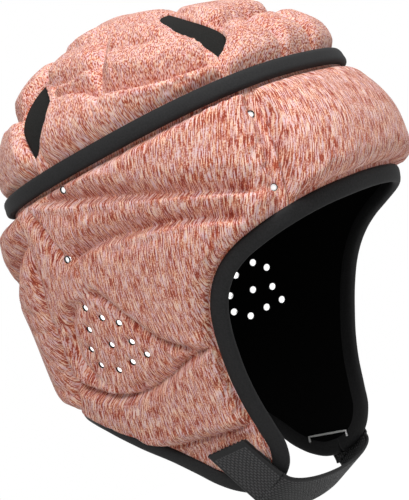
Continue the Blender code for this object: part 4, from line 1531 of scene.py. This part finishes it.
@dataclass(kw_only=True)
class CrownCover(Cover):
    """The knit over the crown's pads, from the band to the top, with four air vents."""

    patch: Patch | None = None
    rear_thinning: float = 0.35  # this and the next three are shares of the pad's height that are left out
    shoulder_thinning: float = 0.35
    brow_thinning: float = 0.25
    summit_thinning: float = 0.26
    lip_samples: int = 60
    cap_radius: float = 1.25 * FORM.half_width  # of a ball as round as the crown, for laying its cloth flat
    cap_reach: float = 1.42 * FORM.half_width

    def places(self, u: np.ndarray, v: np.ndarray) -> tuple[np.ndarray, np.ndarray]:
        """The turns and levels of the panel's grid."""
        return crown_disc(u, v)

    def heights(self, turns: np.ndarray, levels: np.ndarray) -> tuple[np.ndarray, np.ndarray]:
        """The outer face's heights over the form, drawn down round the vents.

        Args:
            turns: turns of the grid.
            levels: levels of the grid.

        Returns:
            The heights, and the share of the pad's height that each point has.
        """
        points = FORM.points(turns, levels)
        share = np.ones(len(turns))
        lip = np.zeros(len(turns))
        for side in Side:
            for groove in self.grooves:
                factor, _ = groove.factor(points, side)
                share *= factor
            for vent in VENTS:
                rim = vent.outline(side, self.lip_samples)[:-1]
                flat = points[:, :2]
                distance, _ = closest(flat, rim[:, :2])
                covered = inside(flat[:, 0], flat[:, 1], [tuple(p) for p in rim[:, :2]])
                away = np.where(covered, 0, distance / vent.lip_width)
                share *= 0.5 + 0.5 * eased(away)
                lip = np.maximum(lip, vent.lip_height * (1 - eased(away)))
        rearward = eased((np.abs(turns) - 95) / 45) * eased((levels + 0.5) / 0.4)
        forward = eased((np.cos(np.radians(turns)) + 0.2) / 0.8)
        shoulder = np.exp(-(((levels + 0.64) / 0.19) ** 2))
        shoulder *= self.shoulder_thinning + self.brow_thinning * forward
        summit = self.summit_thinning * eased((-levels - 0.72) / 0.16)
        full = self.pad * (1 - self.rear_thinning * rearward - shoulder - summit)
        return np.maximum(SIZES.flange + (full - SIZES.flange) * share, lip), share

    def trim(self, piece: bpy.types.Object) -> None:
        """Cuts the four vents."""
        cut_vents(piece)

    def finish(self, dresser: Dresser) -> bpy.types.Material:
        """The knit whose streaks run from ear to ear."""
        return dresser.knit_across

    def cloth_map(self, turns: np.ndarray, levels: np.ndarray) -> np.ndarray:
        """Lays the crown's cloth flat from its top.

        Args:
            turns: turns of the grid.
            levels: levels of the grid.

        Returns:
            Places from front to back and from ear to ear, in metres.
        """
        points = FORM.points(turns, levels)
        flat = np.hypot(points[:, 0], points[:, 1])
        arc = self.cap_radius * np.arcsin(np.clip(flat / self.cap_reach, 0, 1))
        stretch = arc / np.maximum(flat, 1e-6)
        return np.stack([points[:, 1] * stretch, points[:, 0] * stretch], axis=1)


CROWN_GROOVES: tuple[Groove, ...] = (
    Groove(crown_line(CROWN_LOW)[::-1], slope=13 * MM, edge=4.5 * MM),
    Groove(crown_line(CROWN_HIGH)[::-1], slope=12 * MM, edge=5 * MM),
    Groove(crown_line(((69, 0.700), (70, 0.790), (71, 0.879))), depth=0.9, slope=10 * MM, edge=9 * MM),
    Groove(crown_line(((67, 0.385), (67, 0.540), (69, 0.700))), depth=0.9, slope=10 * MM, edge=9 * MM),
    Groove(crown_line([(turn, 0.385) for turn in range(180, -1, -45)]), slope=10 * MM, edge=7 * MM),
    Groove(crown_line(((31, 0.900), (32, 1.0))), slope=5 * MM, edge=5 * MM),
    Groove(crown_line(((26, 0.795), (9, 0.790), (0, 0.785))), slope=10 * MM, edge=8 * MM),
    Groove(crown_line(((9, 0.785), (9, 0.99))), depth=0.9, slope=8 * MM, edge=8 * MM),
    Groove(crown_line(((14, 0.385), (12, 0.440))), slope=8 * MM, edge=8 * MM),
    Groove(crown_line(((106, 0.950), (104, 0.99))), slope=6 * MM, edge=6 * MM),
    Groove(crown_line(((180, 0.750), (155, 0.760), (122, 0.785))), slope=11 * MM, edge=8 * MM),
    Groove(crown_line(((155, 0.760), (155, 0.99))), depth=0.9, slope=9 * MM, edge=9 * MM),
    Groove(crown_line(((116, 0.385), (114, 0.690))), slope=10 * MM, edge=8 * MM),
    Groove(
        crown_line([(turn, 1) for turn in range(0, 181, 45)]), floor=BAND_SEAM, slope=13 * MM, edge=13 * MM
    ),
)


def crown_cover() -> CrownCover:
    """The cover of the crown, not built yet."""
    middles = ("middle_front", "middle_rear", "upper_front", "upper_rear")
    paired = ("lower", *middles, "front_side", "rear_side", "back")
    nodes = [f"crown_{stem}_pad_{side.word}" for stem in paired for side in Side]
    nodes += [f"crown_{stem}_pad" for stem in ("front", "peak", "rear", "top")]
    return CrownCover(
        name="crown_cover",
        columns=196,
        rows=196,
        pad=SIZES.crown_pad,
        grooves=CROWN_GROOVES,
        nodes=nodes,
    )


# Linings


@dataclass
class Lining:
    """A panel of black knit against the head."""

    name: str
    patch: Patch | None
    columns: int
    rows: int
    side: Side = Side.RIGHT
    holes: Sequence[Place] = ()
    carrier: str = ""

    def build(self, dresser: Dresser) -> None:
        """Makes the panel.

        Args:
            dresser: what finishes it.
        """
        u, v = shares_of(self.columns, self.rows)
        turns, levels = self.patch.at(u, v) if self.patch else crown_disc(u, v)
        turns = turns * self.side.value
        outer = FORM.points(turns, levels)
        inner = FORM.lifted(turns, levels, -SIZES.lining)
        piece = closed_between(f"{self.name}_panel", self.columns, self.rows, outer, inner)
        if not self.patch:
            cut_vents(piece)
        punch_holes(piece, [(turn * self.side.value, level) for turn, level in self.holes])
        dresser.dress(piece, dresser.lining, Body.SHELL, [self.name])


def linings() -> list[Lining]:
    """The five lining panels, not built yet."""
    holes = BREATHING_HOLES + GROOVE_EYELETS
    sides = [
        Lining(f"side_lining_{side.word}", side_patch(), 60, 64, side, holes, f"side_cover_{side.word}")
        for side in Side
    ]
    return [
        *sides,
        Lining("brow_lining", brow_cover().patch, 30, 20, carrier="brow_cover"),
        Lining("nape_lining", back_cover().patch, 44, 30, carrier="back_cover"),
        Lining("crown_lining", None, 60, 60, carrier="crown_cover"),
    ]


# Tapes


def tape_section(width: float, height: float, base: float, roundness: float, count: int = 18) -> np.ndarray:
    """A folded tape's section.

    Args:
        width: its width over the form.
        height: its top over the form.
        base: its underside over the form.
        roundness: how square it is, 2 for an ellipse.
        count: its points.

    Returns:
        One row of sideways place and height for each point, round a closed loop.
    """
    angles = np.linspace(0, 2 * math.pi, count, endpoint=False)
    c, s = np.cos(angles), np.sin(angles)
    across = np.sign(c) * np.abs(c) ** (2 / roundness) * width / 2
    up = np.sign(s) * np.abs(s) ** (2 / roundness) * (height - base) / 2 + (height + base) / 2
    return np.stack([across, up], axis=1)


@dataclass
class CrownBand:
    """The tape over the seam between the crown and the lower panels."""

    columns: int = 240
    roundness: float = 3.2

    def build(self, dresser: Dresser) -> None:
        """Makes the band.

        Args:
            dresser: what finishes it.
        """
        section = tape_section(SIZES.band_width, SIZES.band_height, SIZES.seat, self.roundness, 24)
        turns = np.linspace(-180, 180, self.columns, endpoint=False)
        points = []
        for across, up in np.concatenate([section, section[:1]]):
            if across > 0:
                levels = np.array([FORM.crown_level(turn, across) for turn in turns])
            else:
                levels = np.full(len(turns), -across / FORM.tab_drop)
            points.append(FORM.lifted(turns, levels, up))
        rows = np.stack(points, axis=1)
        rows = np.concatenate([rows, rows[:1]])
        piece = new_grid("crown_band_tape", len(section), self.columns, rows)
        face_outwards(piece)
        dresser.dress(piece, dresser.tape, Body.SHELL, ["crown_band"])


@dataclass
class EdgeBinding:
    """The folded tape round an edge, from the lining's inside to the cover's outside."""

    name: str
    node: str
    line: Places
    columns: int
    roundness: float = 3.0

    def build(self, dresser: Dresser) -> None:
        """Makes the binding.

        Args:
            dresser: what finishes it.
        """
        base = -SIZES.lining - SIZES.seat
        section = tape_section(SIZES.binding_width, SIZES.binding_height, base, self.roundness)
        origins, _, sides = Rail(self.line).frames(np.linspace(0, 1, self.columns + 1))
        ring = np.concatenate([section, section[:1]])
        spots = origins[:, None] + sides[:, None] * ring[None, :, :1]
        turns, levels = place_of(spots.reshape(-1, 3))
        heights = np.tile(ring[:, 1], self.columns + 1)
        piece = new_grid(self.name, len(section), self.columns, FORM.lifted(turns, levels, heights))
        pick(piece)

        def close_ends() -> None:
            """Merges the seam and fills both ends."""
            bpy.ops.mesh.select_all(action="SELECT")
            bpy.ops.mesh.remove_doubles(threshold=MERGE)
            bpy.ops.mesh.select_mode(type="EDGE")
            bpy.ops.mesh.select_all(action="DESELECT")
            bpy.ops.mesh.select_non_manifold()
            bpy.ops.mesh.fill_holes(sides=0)

        edit(close_ends)
        face_outwards(piece)
        dresser.dress(piece, dresser.tape, Body.SHELL, [self.node])


def bindings() -> list[EdgeBinding]:
    """The face binding and the neck binding, not built yet."""
    face = [*flipped(FACE_EDGE[:0:-1]), *FACE_EDGE]
    neck = [*NECK_EDGE, *past_nape(NECK_EDGE[-2::-1])]
    return [
        EdgeBinding("face_binding_tape", "face_binding", face, 320),
        EdgeBinding("neck_binding_tape", "neck_binding", neck, 240),
    ]


# Strap


def tab_points(side: Side, setbacks: np.ndarray, drops: np.ndarray, height: float) -> np.ndarray:
    """Points over a tab's outer face.

    Args:
        side: the tab.
        setbacks: distances behind the head's middle.
        drops: drops below the band.
        height: the height over the form.

    Returns:
        One row of x, y and z for each point.
    """
    levels = drops / FORM.tab_drop
    turns = np.full(len(setbacks), 90.0)
    for _ in range(6):
        radius = np.linalg.norm(FORM.points(turns, levels)[:, :2], axis=1)
        turns = 90 + np.degrees(np.arcsin(setbacks / radius))
    return FORM.lifted(turns * side.value, levels, height)


@dataclass
class ChinStrap:
    """The webbing: sewn to the left tab, under the chin, and fastened on the right tab."""

    width: float = SIZES.strap_width
    thickness: float = SIZES.strap_thickness
    sag: float = 11.0 * MM
    setback: float = 8.5 * MM  # of the middle of the strap at its upper ends
    fold_setback: float = -0.5 * MM
    tilt: float = math.radians(22)  # how far the sling leans forward under the chin
    tack_tilt: float = math.radians(11)
    tongue: float = 29.0 * MM
    anchor: float = 22.0 * MM
    cover_top: float = 3.6 * MM
    patch_thickness: float = 1.2 * MM
    patch_margin: float = 1.5 * MM
    gap: float = 0.3 * MM
    tooth: float = 0.9 * MM
    teeth: int = 9
    edge_share: float = 0.06  # of the width, where each selvedge rounds off
    edge_drop: float = 0.3  # of the thickness
    tip_gap: float = 0.8 * MM  # between the patches' feet and the face binding
    tack_level: float = 0.952
    tack_leg: float = 3.0 * MM
    thread_radius: float = 0.6 * MM

    def leaf(
        self,
        name: str,
        side: Side,
        drops: tuple[float, float],
        height: float,
        thickness: float,
        margin: float = 0.0,
        pinked: bool = False,
    ) -> bpy.types.Object:
        """A flat strip over a tab.

        Args:
            name: the piece's name.
            side: the tab.
            drops: its upper and lower end.
            height: its underside over the form.
            thickness: its thickness.
            margin: how much narrower than the strap it is on each edge.
            pinked: whether its upper end is cut in teeth.

        Returns:
            The closed piece, with a UV map in metres.
        """
        columns, rows = 56, 40
        u, v = shares_of(columns, rows)
        half = self.width / 2 - margin
        start = np.full(len(u), drops[0])
        if pinked:
            tooth = np.abs(((u * self.teeth) % 1) - 0.5) * 2
            start = start + tooth * self.tooth
        fall = start + v * (drops[1] - start)
        reach = np.clip((fall - self.upper_end) / self.tongue, 0, 1)
        middle = self.setback + (self.fold_setback - self.setback) * reach
        setbacks = middle + (2 * u - 1) * half * np.cos(self.tilt * reach)
        sunk = fall + (2 * u - 1) * half * np.sin(self.tilt) * reach * v
        rounding = 1 - np.clip(np.minimum(u, 1 - u) / self.edge_share, 0, 1)
        top = height + thickness * (1 - self.edge_drop * rounding**2)
        outer = tab_points(side, setbacks, sunk, 0.0)
        turns, levels = place_of(outer)
        outer = FORM.lifted(turns, levels, top)
        inner = FORM.lifted(turns, levels, height)
        piece = closed_between(name, columns, rows, outer, inner)
        pairs = np.stack([(2 * u - 1) * half + self.width / 2, fall - drops[0]], axis=1)
        map_by_nearest(piece, outer, inner, pairs)
        return piece

    @property
    def upper_end(self) -> float:
        """The drop of the tongue's upper end."""
        return FORM.tab_drop - self.tongue

    def free_run(self, fold_right: np.ndarray, fold_left: np.ndarray) -> bpy.types.Object:
        """The part under the chin, half an ellipse between the two folds.

        Args:
            fold_right: the middle of the fold at the right tab.
            fold_left: the middle of the fold at the left tab.

        Returns:
            The closed piece, with a UV map in metres.
        """
        columns, rows = 40, 160
        u, v = shares_of(columns, rows)
        middle = self.thickness / 2
        centre = (fold_right[0] + fold_left[0]) / 2
        half_span = (fold_left[0] - fold_right[0]) / 2
        start = fold_right[2] - self.thickness * 0.1
        angle = math.pi * (v * 1.03 - 0.015)
        edge = 1 - np.clip(np.minimum(u, 1 - u) / self.edge_share, 0, 1)
        sides = []
        for offset in (-middle, middle):
            lift = offset * (1 - self.edge_drop * edge**2)
            x = centre - (half_span + lift) * np.cos(angle)
            down = (self.sag + lift) * np.sin(angle)
            aside = (2 * u - 1) * self.width / 2
            y = self.fold_setback - down * math.sin(self.tilt) + aside * math.cos(self.tilt)
            z = start - down * math.cos(self.tilt) - aside * math.sin(self.tilt)
            sides.append(np.stack([x, y, z], axis=1))
        inner, outer = sides
        piece = closed_between("chin_webbing", columns, rows, outer, inner)
        steps = np.linalg.norm(np.diff(outer[:: columns + 1], axis=0), axis=1)
        run = np.repeat(np.concatenate([[0], np.cumsum(steps)]), columns + 1)
        map_by_nearest(piece, outer, inner, np.stack([u * self.width, run + self.tongue], axis=1))
        return piece

    def stitches(self, dresser: Dresser) -> None:
        """The bracket of white stitches inside the left tab.

        Args:
            dresser: what finishes it.
        """
        radius, half = self.thread_radius, self.width / 2
        run = np.array([-half, *np.linspace(-half, half, 7), half])
        legs = np.zeros(len(run))
        legs[[0, -1]] = self.tack_leg
        setbacks = self.setback + run * math.cos(self.tack_tilt)
        drops = self.tack_level * FORM.tab_drop - run * math.sin(self.tack_tilt) + legs
        spots = tab_points(Side.LEFT, setbacks, drops, -SIZES.lining - self.gap - radius)
        curve = bpy.data.curves.new("bar_tack_thread", "CURVE")
        curve.dimensions = "3D"
        curve.bevel_depth = radius
        curve.bevel_resolution = 3
        curve.use_fill_caps = True
        spline = curve.splines.new("POLY")
        spline.points.add(len(spots) - 1)
        for point, spot in zip(spline.points, spots):
            point.co = (*spot, 1)
        piece = bpy.data.objects.new("bar_tack_thread", curve)
        bpy.context.scene.collection.objects.link(piece)
        dresser.dress(piece, dresser.thread, Body.SHELL, ["bar_tack"])

    def build(self, dresser: Dresser) -> None:
        """Makes the strap's pieces.

        Args:
            dresser: what finishes them.
        """
        loop_height = self.cover_top + self.gap
        hook_height = loop_height + self.patch_thickness + self.gap
        tongue_height = hook_height + self.patch_thickness + self.gap
        drop = FORM.tab_drop
        here = np.array([self.fold_setback])
        middle = self.thickness / 2
        fold_right = tab_points(Side.RIGHT, here, np.array([drop]), tongue_height + middle)[0]
        fold_left = tab_points(Side.LEFT, here, np.array([drop]), loop_height + middle)[0]
        foot = drop + fold_left[2] - fold_right[2]
        top, margin, thin = self.upper_end, self.patch_margin, self.patch_thickness
        patch_foot = FACE_EDGE[-1][1] * drop - SIZES.binding_width / 2 - self.tip_gap
        drops = (top + margin, patch_foot - margin)
        right, left = Side.RIGHT, Side.LEFT
        loops = self.leaf("loop_tape_patch", right, drops, loop_height, thin, margin)
        hooks = self.leaf("hook_tape_patch", right, drops, hook_height, thin, margin)
        tongue = self.leaf("strap_tongue_end", right, (top, drop), tongue_height, self.thickness, pinked=True)
        anchor = self.leaf("strap_anchor_end", left, (drop - self.anchor, foot), loop_height, self.thickness)
        webbing = self.free_run(fold_right, fold_left)
        for piece, material, slot, body, node in (
            (loops, dresser.loops, "loop_tape", Body.SHELL, "loop_patch"),
            (hooks, dresser.hooks, "hook_tape", Body.STRAP_END, "hook_patch"),
            (tongue, dresser.sealed_webbing, "strap_webbing", Body.STRAP_END, "strap_tongue"),
            (anchor, dresser.webbing, "strap_webbing", Body.SHELL, "strap_anchor"),
            (webbing, dresser.webbing, "strap_webbing", Body.CHIN_STRAP, "strap_webbing"),
        ):
            dresser.dress(piece, material, body, [node])
        self.stitches(dresser)


# Hole walls


@dataclass
class HoleRings:
    """The walls of one side's holes: a black ring just under the knit's face, then the white foam. In
    the grooves, where there is no block, thin foam closes the eyelets."""

    side: Side
    wall: float = 0.35 * MM
    # how deep the black ring reaches, from its top just under the knit's face
    dark_band: float = 0.8 * MM
    rim: float = 0.1 * MM  # how far below the knit's face a wall starts
    play: float = 0.03 * MM
    gap: float = 0.02 * MM  # between the black ring and the foam's
    plug_foot: float = 0.2 * MM  # over the lining's inner face
    wall_foot: float = -0.15 * MM
    sides: int = 24

    def ring(self, turn: float, level: float, upper: float, lower: float, closed: bool) -> bpy.types.Object:
        """Lines a hole.

        Args:
            turn: the hole's turn.
            level: its level.
            upper: the height of the ring's outer rim over the form.
            lower: the height of its inner rim.
            closed: whether it is a plug.

        Returns:
            An open tube or a closed plug.
        """
        deselect_all()
        bpy.ops.mesh.primitive_cylinder_add(
            vertices=self.sides,
            radius=SIZES.hole / 2 - self.play,
            depth=1,
            end_fill_type="NGON" if closed else "NOTHING",
        )
        piece = bpy.context.object
        points = coordinates(piece)
        points[:, 2] = np.where(points[:, 2] > 0, upper, lower)
        move_to(piece, points)
        if not closed:
            wall = piece.modifiers.new("wall", "SOLIDIFY")
            wall.thickness = self.wall
            wall.offset = -1
            apply_modifiers(piece)
        piece.matrix_world = standing(turn, level)
        return piece

    def joined(self, name: str, rings: Sequence[bpy.types.Object]) -> bpy.types.Object:
        """Joins rings into one piece at the origin."""
        piece = join_at_origin(rings)
        piece.name = piece.data.name = f"{name}_{self.side.word}"
        face_outwards(piece)
        return piece

    def build(self, dresser: Dresser, cover: Cover) -> None:
        """Makes one piece of all the side's black rings and one of all its foam.

        Args:
            dresser: what finishes them.
            cover: the panel that the holes are in.
        """
        dark_bands, foams = [], []
        for turn, level in cover.holes:
            here = turn * self.side.value
            height, _ = cover.heights(np.array([here]), np.array([level]))
            top = float(height[0]) - self.rim
            plugged = (turn, level) in GROOVE_EYELETS
            seam = top - self.dark_band
            foot = (self.plug_foot if plugged else self.wall_foot) - SIZES.lining
            dark_bands.append(self.ring(here, level, top, seam, False))
            foams.append(self.ring(here, level, seam - self.gap, foot, plugged))
        dresser.dress(self.joined("hole_dark_band", dark_bands), dresser.lining, Body.SHELL)
        dresser.dress(self.joined("hole_foam", foams), dresser.foam, Body.SHELL)


# Studio


@dataclass(frozen=True)
class Studio:
    """The floor, the lights and the camera at the photograph's viewing angle."""

    azimuth: float = 55.97
    elevation: float = -7.12
    roll: float = 24.38
    distance: float = 1.261
    focal_pixels: float = 2327.0
    long_side: float = 500.0
    aim_right: float = 0.0209
    aim_down: float = 0.0589
    key: float = 21.5
    fill: float = 11.0
    ambient: float = 0.11
    floor_colour: str = "#d2d2d0"
    floor_glow: float = 1.06  # what the camera sees of the floor, apart from its shadows
    glow_share: float = 0.94

    def axes(self) -> tuple[Vector, Vector, Vector]:
        """The camera's right, up and back directions."""
        around, above, roll = (math.radians(a) for a in (self.azimuth, self.elevation, self.roll))
        right = Vector((math.cos(around), -math.sin(around), 0))
        level = math.cos(above)
        back = Vector((-math.sin(around) * level, -math.cos(around) * level, math.sin(above)))
        up = back.cross(right)
        return (
            right * math.cos(roll) - up * math.sin(roll),
            right * math.sin(roll) + up * math.cos(roll),
            back,
        )

    def build(self) -> None:
        """Sets the stage."""
        self.set_camera()
        self.set_world()
        self.lay_floor()
        self.hang_lamps()
        bpy.context.scene.view_settings.view_transform = "Standard"

    def set_camera(self) -> None:
        """Places the camera as the photograph's."""
        right, up, back = self.axes()
        lens = bpy.data.cameras.new("photo_camera")
        lens.lens = self.focal_pixels / self.long_side * lens.sensor_width
        lens.clip_start, lens.clip_end = 0.01, 50
        camera = bpy.data.objects.new("photo_camera", lens)
        bpy.context.scene.collection.objects.link(camera)
        place = back * self.distance
        aim = right * self.aim_right - up * self.aim_down
        facing = (place - aim).normalized()
        true_right = up.cross(facing).normalized()
        true_up = facing.cross(true_right)
        matrix = Matrix((true_right, true_up, facing)).transposed().to_4x4()
        matrix.translation = place
        camera.matrix_world = matrix
        bpy.context.scene.camera = camera

    def set_world(self) -> None:
        """A soft grey surround that is white where the camera, a mirror or glass looks at it."""
        world = bpy.data.worlds.new("studio")
        bpy.context.scene.world = world
        world.use_nodes = True
        tree = world.node_tree
        tree.nodes.clear()
        path = add_node(tree, "LightPath").outputs
        seen = path["Is Camera Ray"]
        for kind in ("Is Glossy Ray", "Is Transmission Ray"):
            seen = add_node(tree, "Math", {"operation": "MAXIMUM"}, {0: seen, 1: path[kind]}).outputs[0]
        soft = add_node(tree, "Background", {}, {"Color": (1, 1, 1, 1), "Strength": self.ambient})
        white = add_node(tree, "Background", {}, {"Color": (1, 1, 1, 1), "Strength": 1.0})
        mixed = add_node(tree, "MixShader", {}, {0: seen, 1: soft.outputs[0], 2: white.outputs[0]})
        add_node(tree, "OutputWorld", {}, {"Surface": mixed.outputs[0]})

    def lay_floor(self) -> None:
        """A pale floor just under the lowest point, which keeps the object's shadow."""
        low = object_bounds()[0]
        deselect_all()
        bpy.ops.mesh.primitive_plane_add(size=6, location=(0, 0, low.z - 1 * MM))
        floor = bpy.context.object
        floor.name = floor.data.name = "studio_floor"
        made, tree, shader = new_material("studio_floor")
        shader.inputs["Base Color"].default_value = linear(self.floor_colour)
        shader.inputs["Roughness"].default_value = 0.9
        path = add_node(tree, "LightPath").outputs
        rays = {0: path["Is Camera Ray"], 1: path["Is Glossy Ray"]}
        seen = add_node(tree, "Math", {"operation": "MAXIMUM"}, rays).outputs[0]
        share = add_node(tree, "Math", {"operation": "MULTIPLY"}, {0: seen, 1: self.glow_share}).outputs[0]
        glow = add_node(tree, "Emission", {}, {"Color": (1, 1, 1, 1), "Strength": self.floor_glow})
        mixed = add_node(tree, "MixShader", {}, {0: share, 1: shader.outputs[0], 2: glow.outputs[0]})
        output = next(node for node in tree.nodes if node.type == "OUTPUT_MATERIAL")
        tree.links.new(mixed.outputs[0], output.inputs["Surface"])
        floor.data.materials.append(made)
        floor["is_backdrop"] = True

    def hang_lamps(self) -> None:
        """A large soft key over the brow and a weak fill behind the camera."""
        self.lamp("key", Vector((-0.10, -0.98, 1.25)), 0.6, self.key)
        self.lamp("fill", Vector((-1.08, -0.30, 0.78)), 0.6, self.fill)

    def lamp(self, name: str, place: Vector, size: float, power: float) -> None:
        """Hangs a square area lamp that looks at the object.

        Args:
            name: its name.
            place: where it hangs.
            size: its side.
            power: its power in watts.
        """
        data = bpy.data.lights.new(name, "AREA")
        data.size, data.energy = size, power
        lamp = bpy.data.objects.new(name, data)
        bpy.context.scene.collection.objects.link(lamp)
        lamp.location = place
        target = Vector((0, 0, -0.06))
        lamp.rotation_euler = (place - target).to_track_quat("Z", "Y").to_euler()


def main() -> None:
    """Builds the headgear, then the studio."""
    logging.basicConfig(level=logging.INFO, format="%(message)s")
    dresser = Dresser()
    sides = [side_cover(side) for side in Side]
    for cover in (*sides, brow_cover(), back_cover(), crown_cover()):
        cover.build(dresser)
    for cover in sides:
        HoleRings(cover.side).build(dresser, cover)
        FRONT_VENT.mesh(cover.side, f"front_vent_mesh_{cover.side.word}", dresser)
        REAR_VENT.mesh(cover.side, f"rear_vent_mesh_{cover.side.word}", dresser)
    for lining in linings():
        lining.build(dresser)
    for piece in (CrownBand(), *bindings(), ChinStrap()):
        piece.build(dresser)
    Studio().build()


if __name__ == "__main__":
    main()
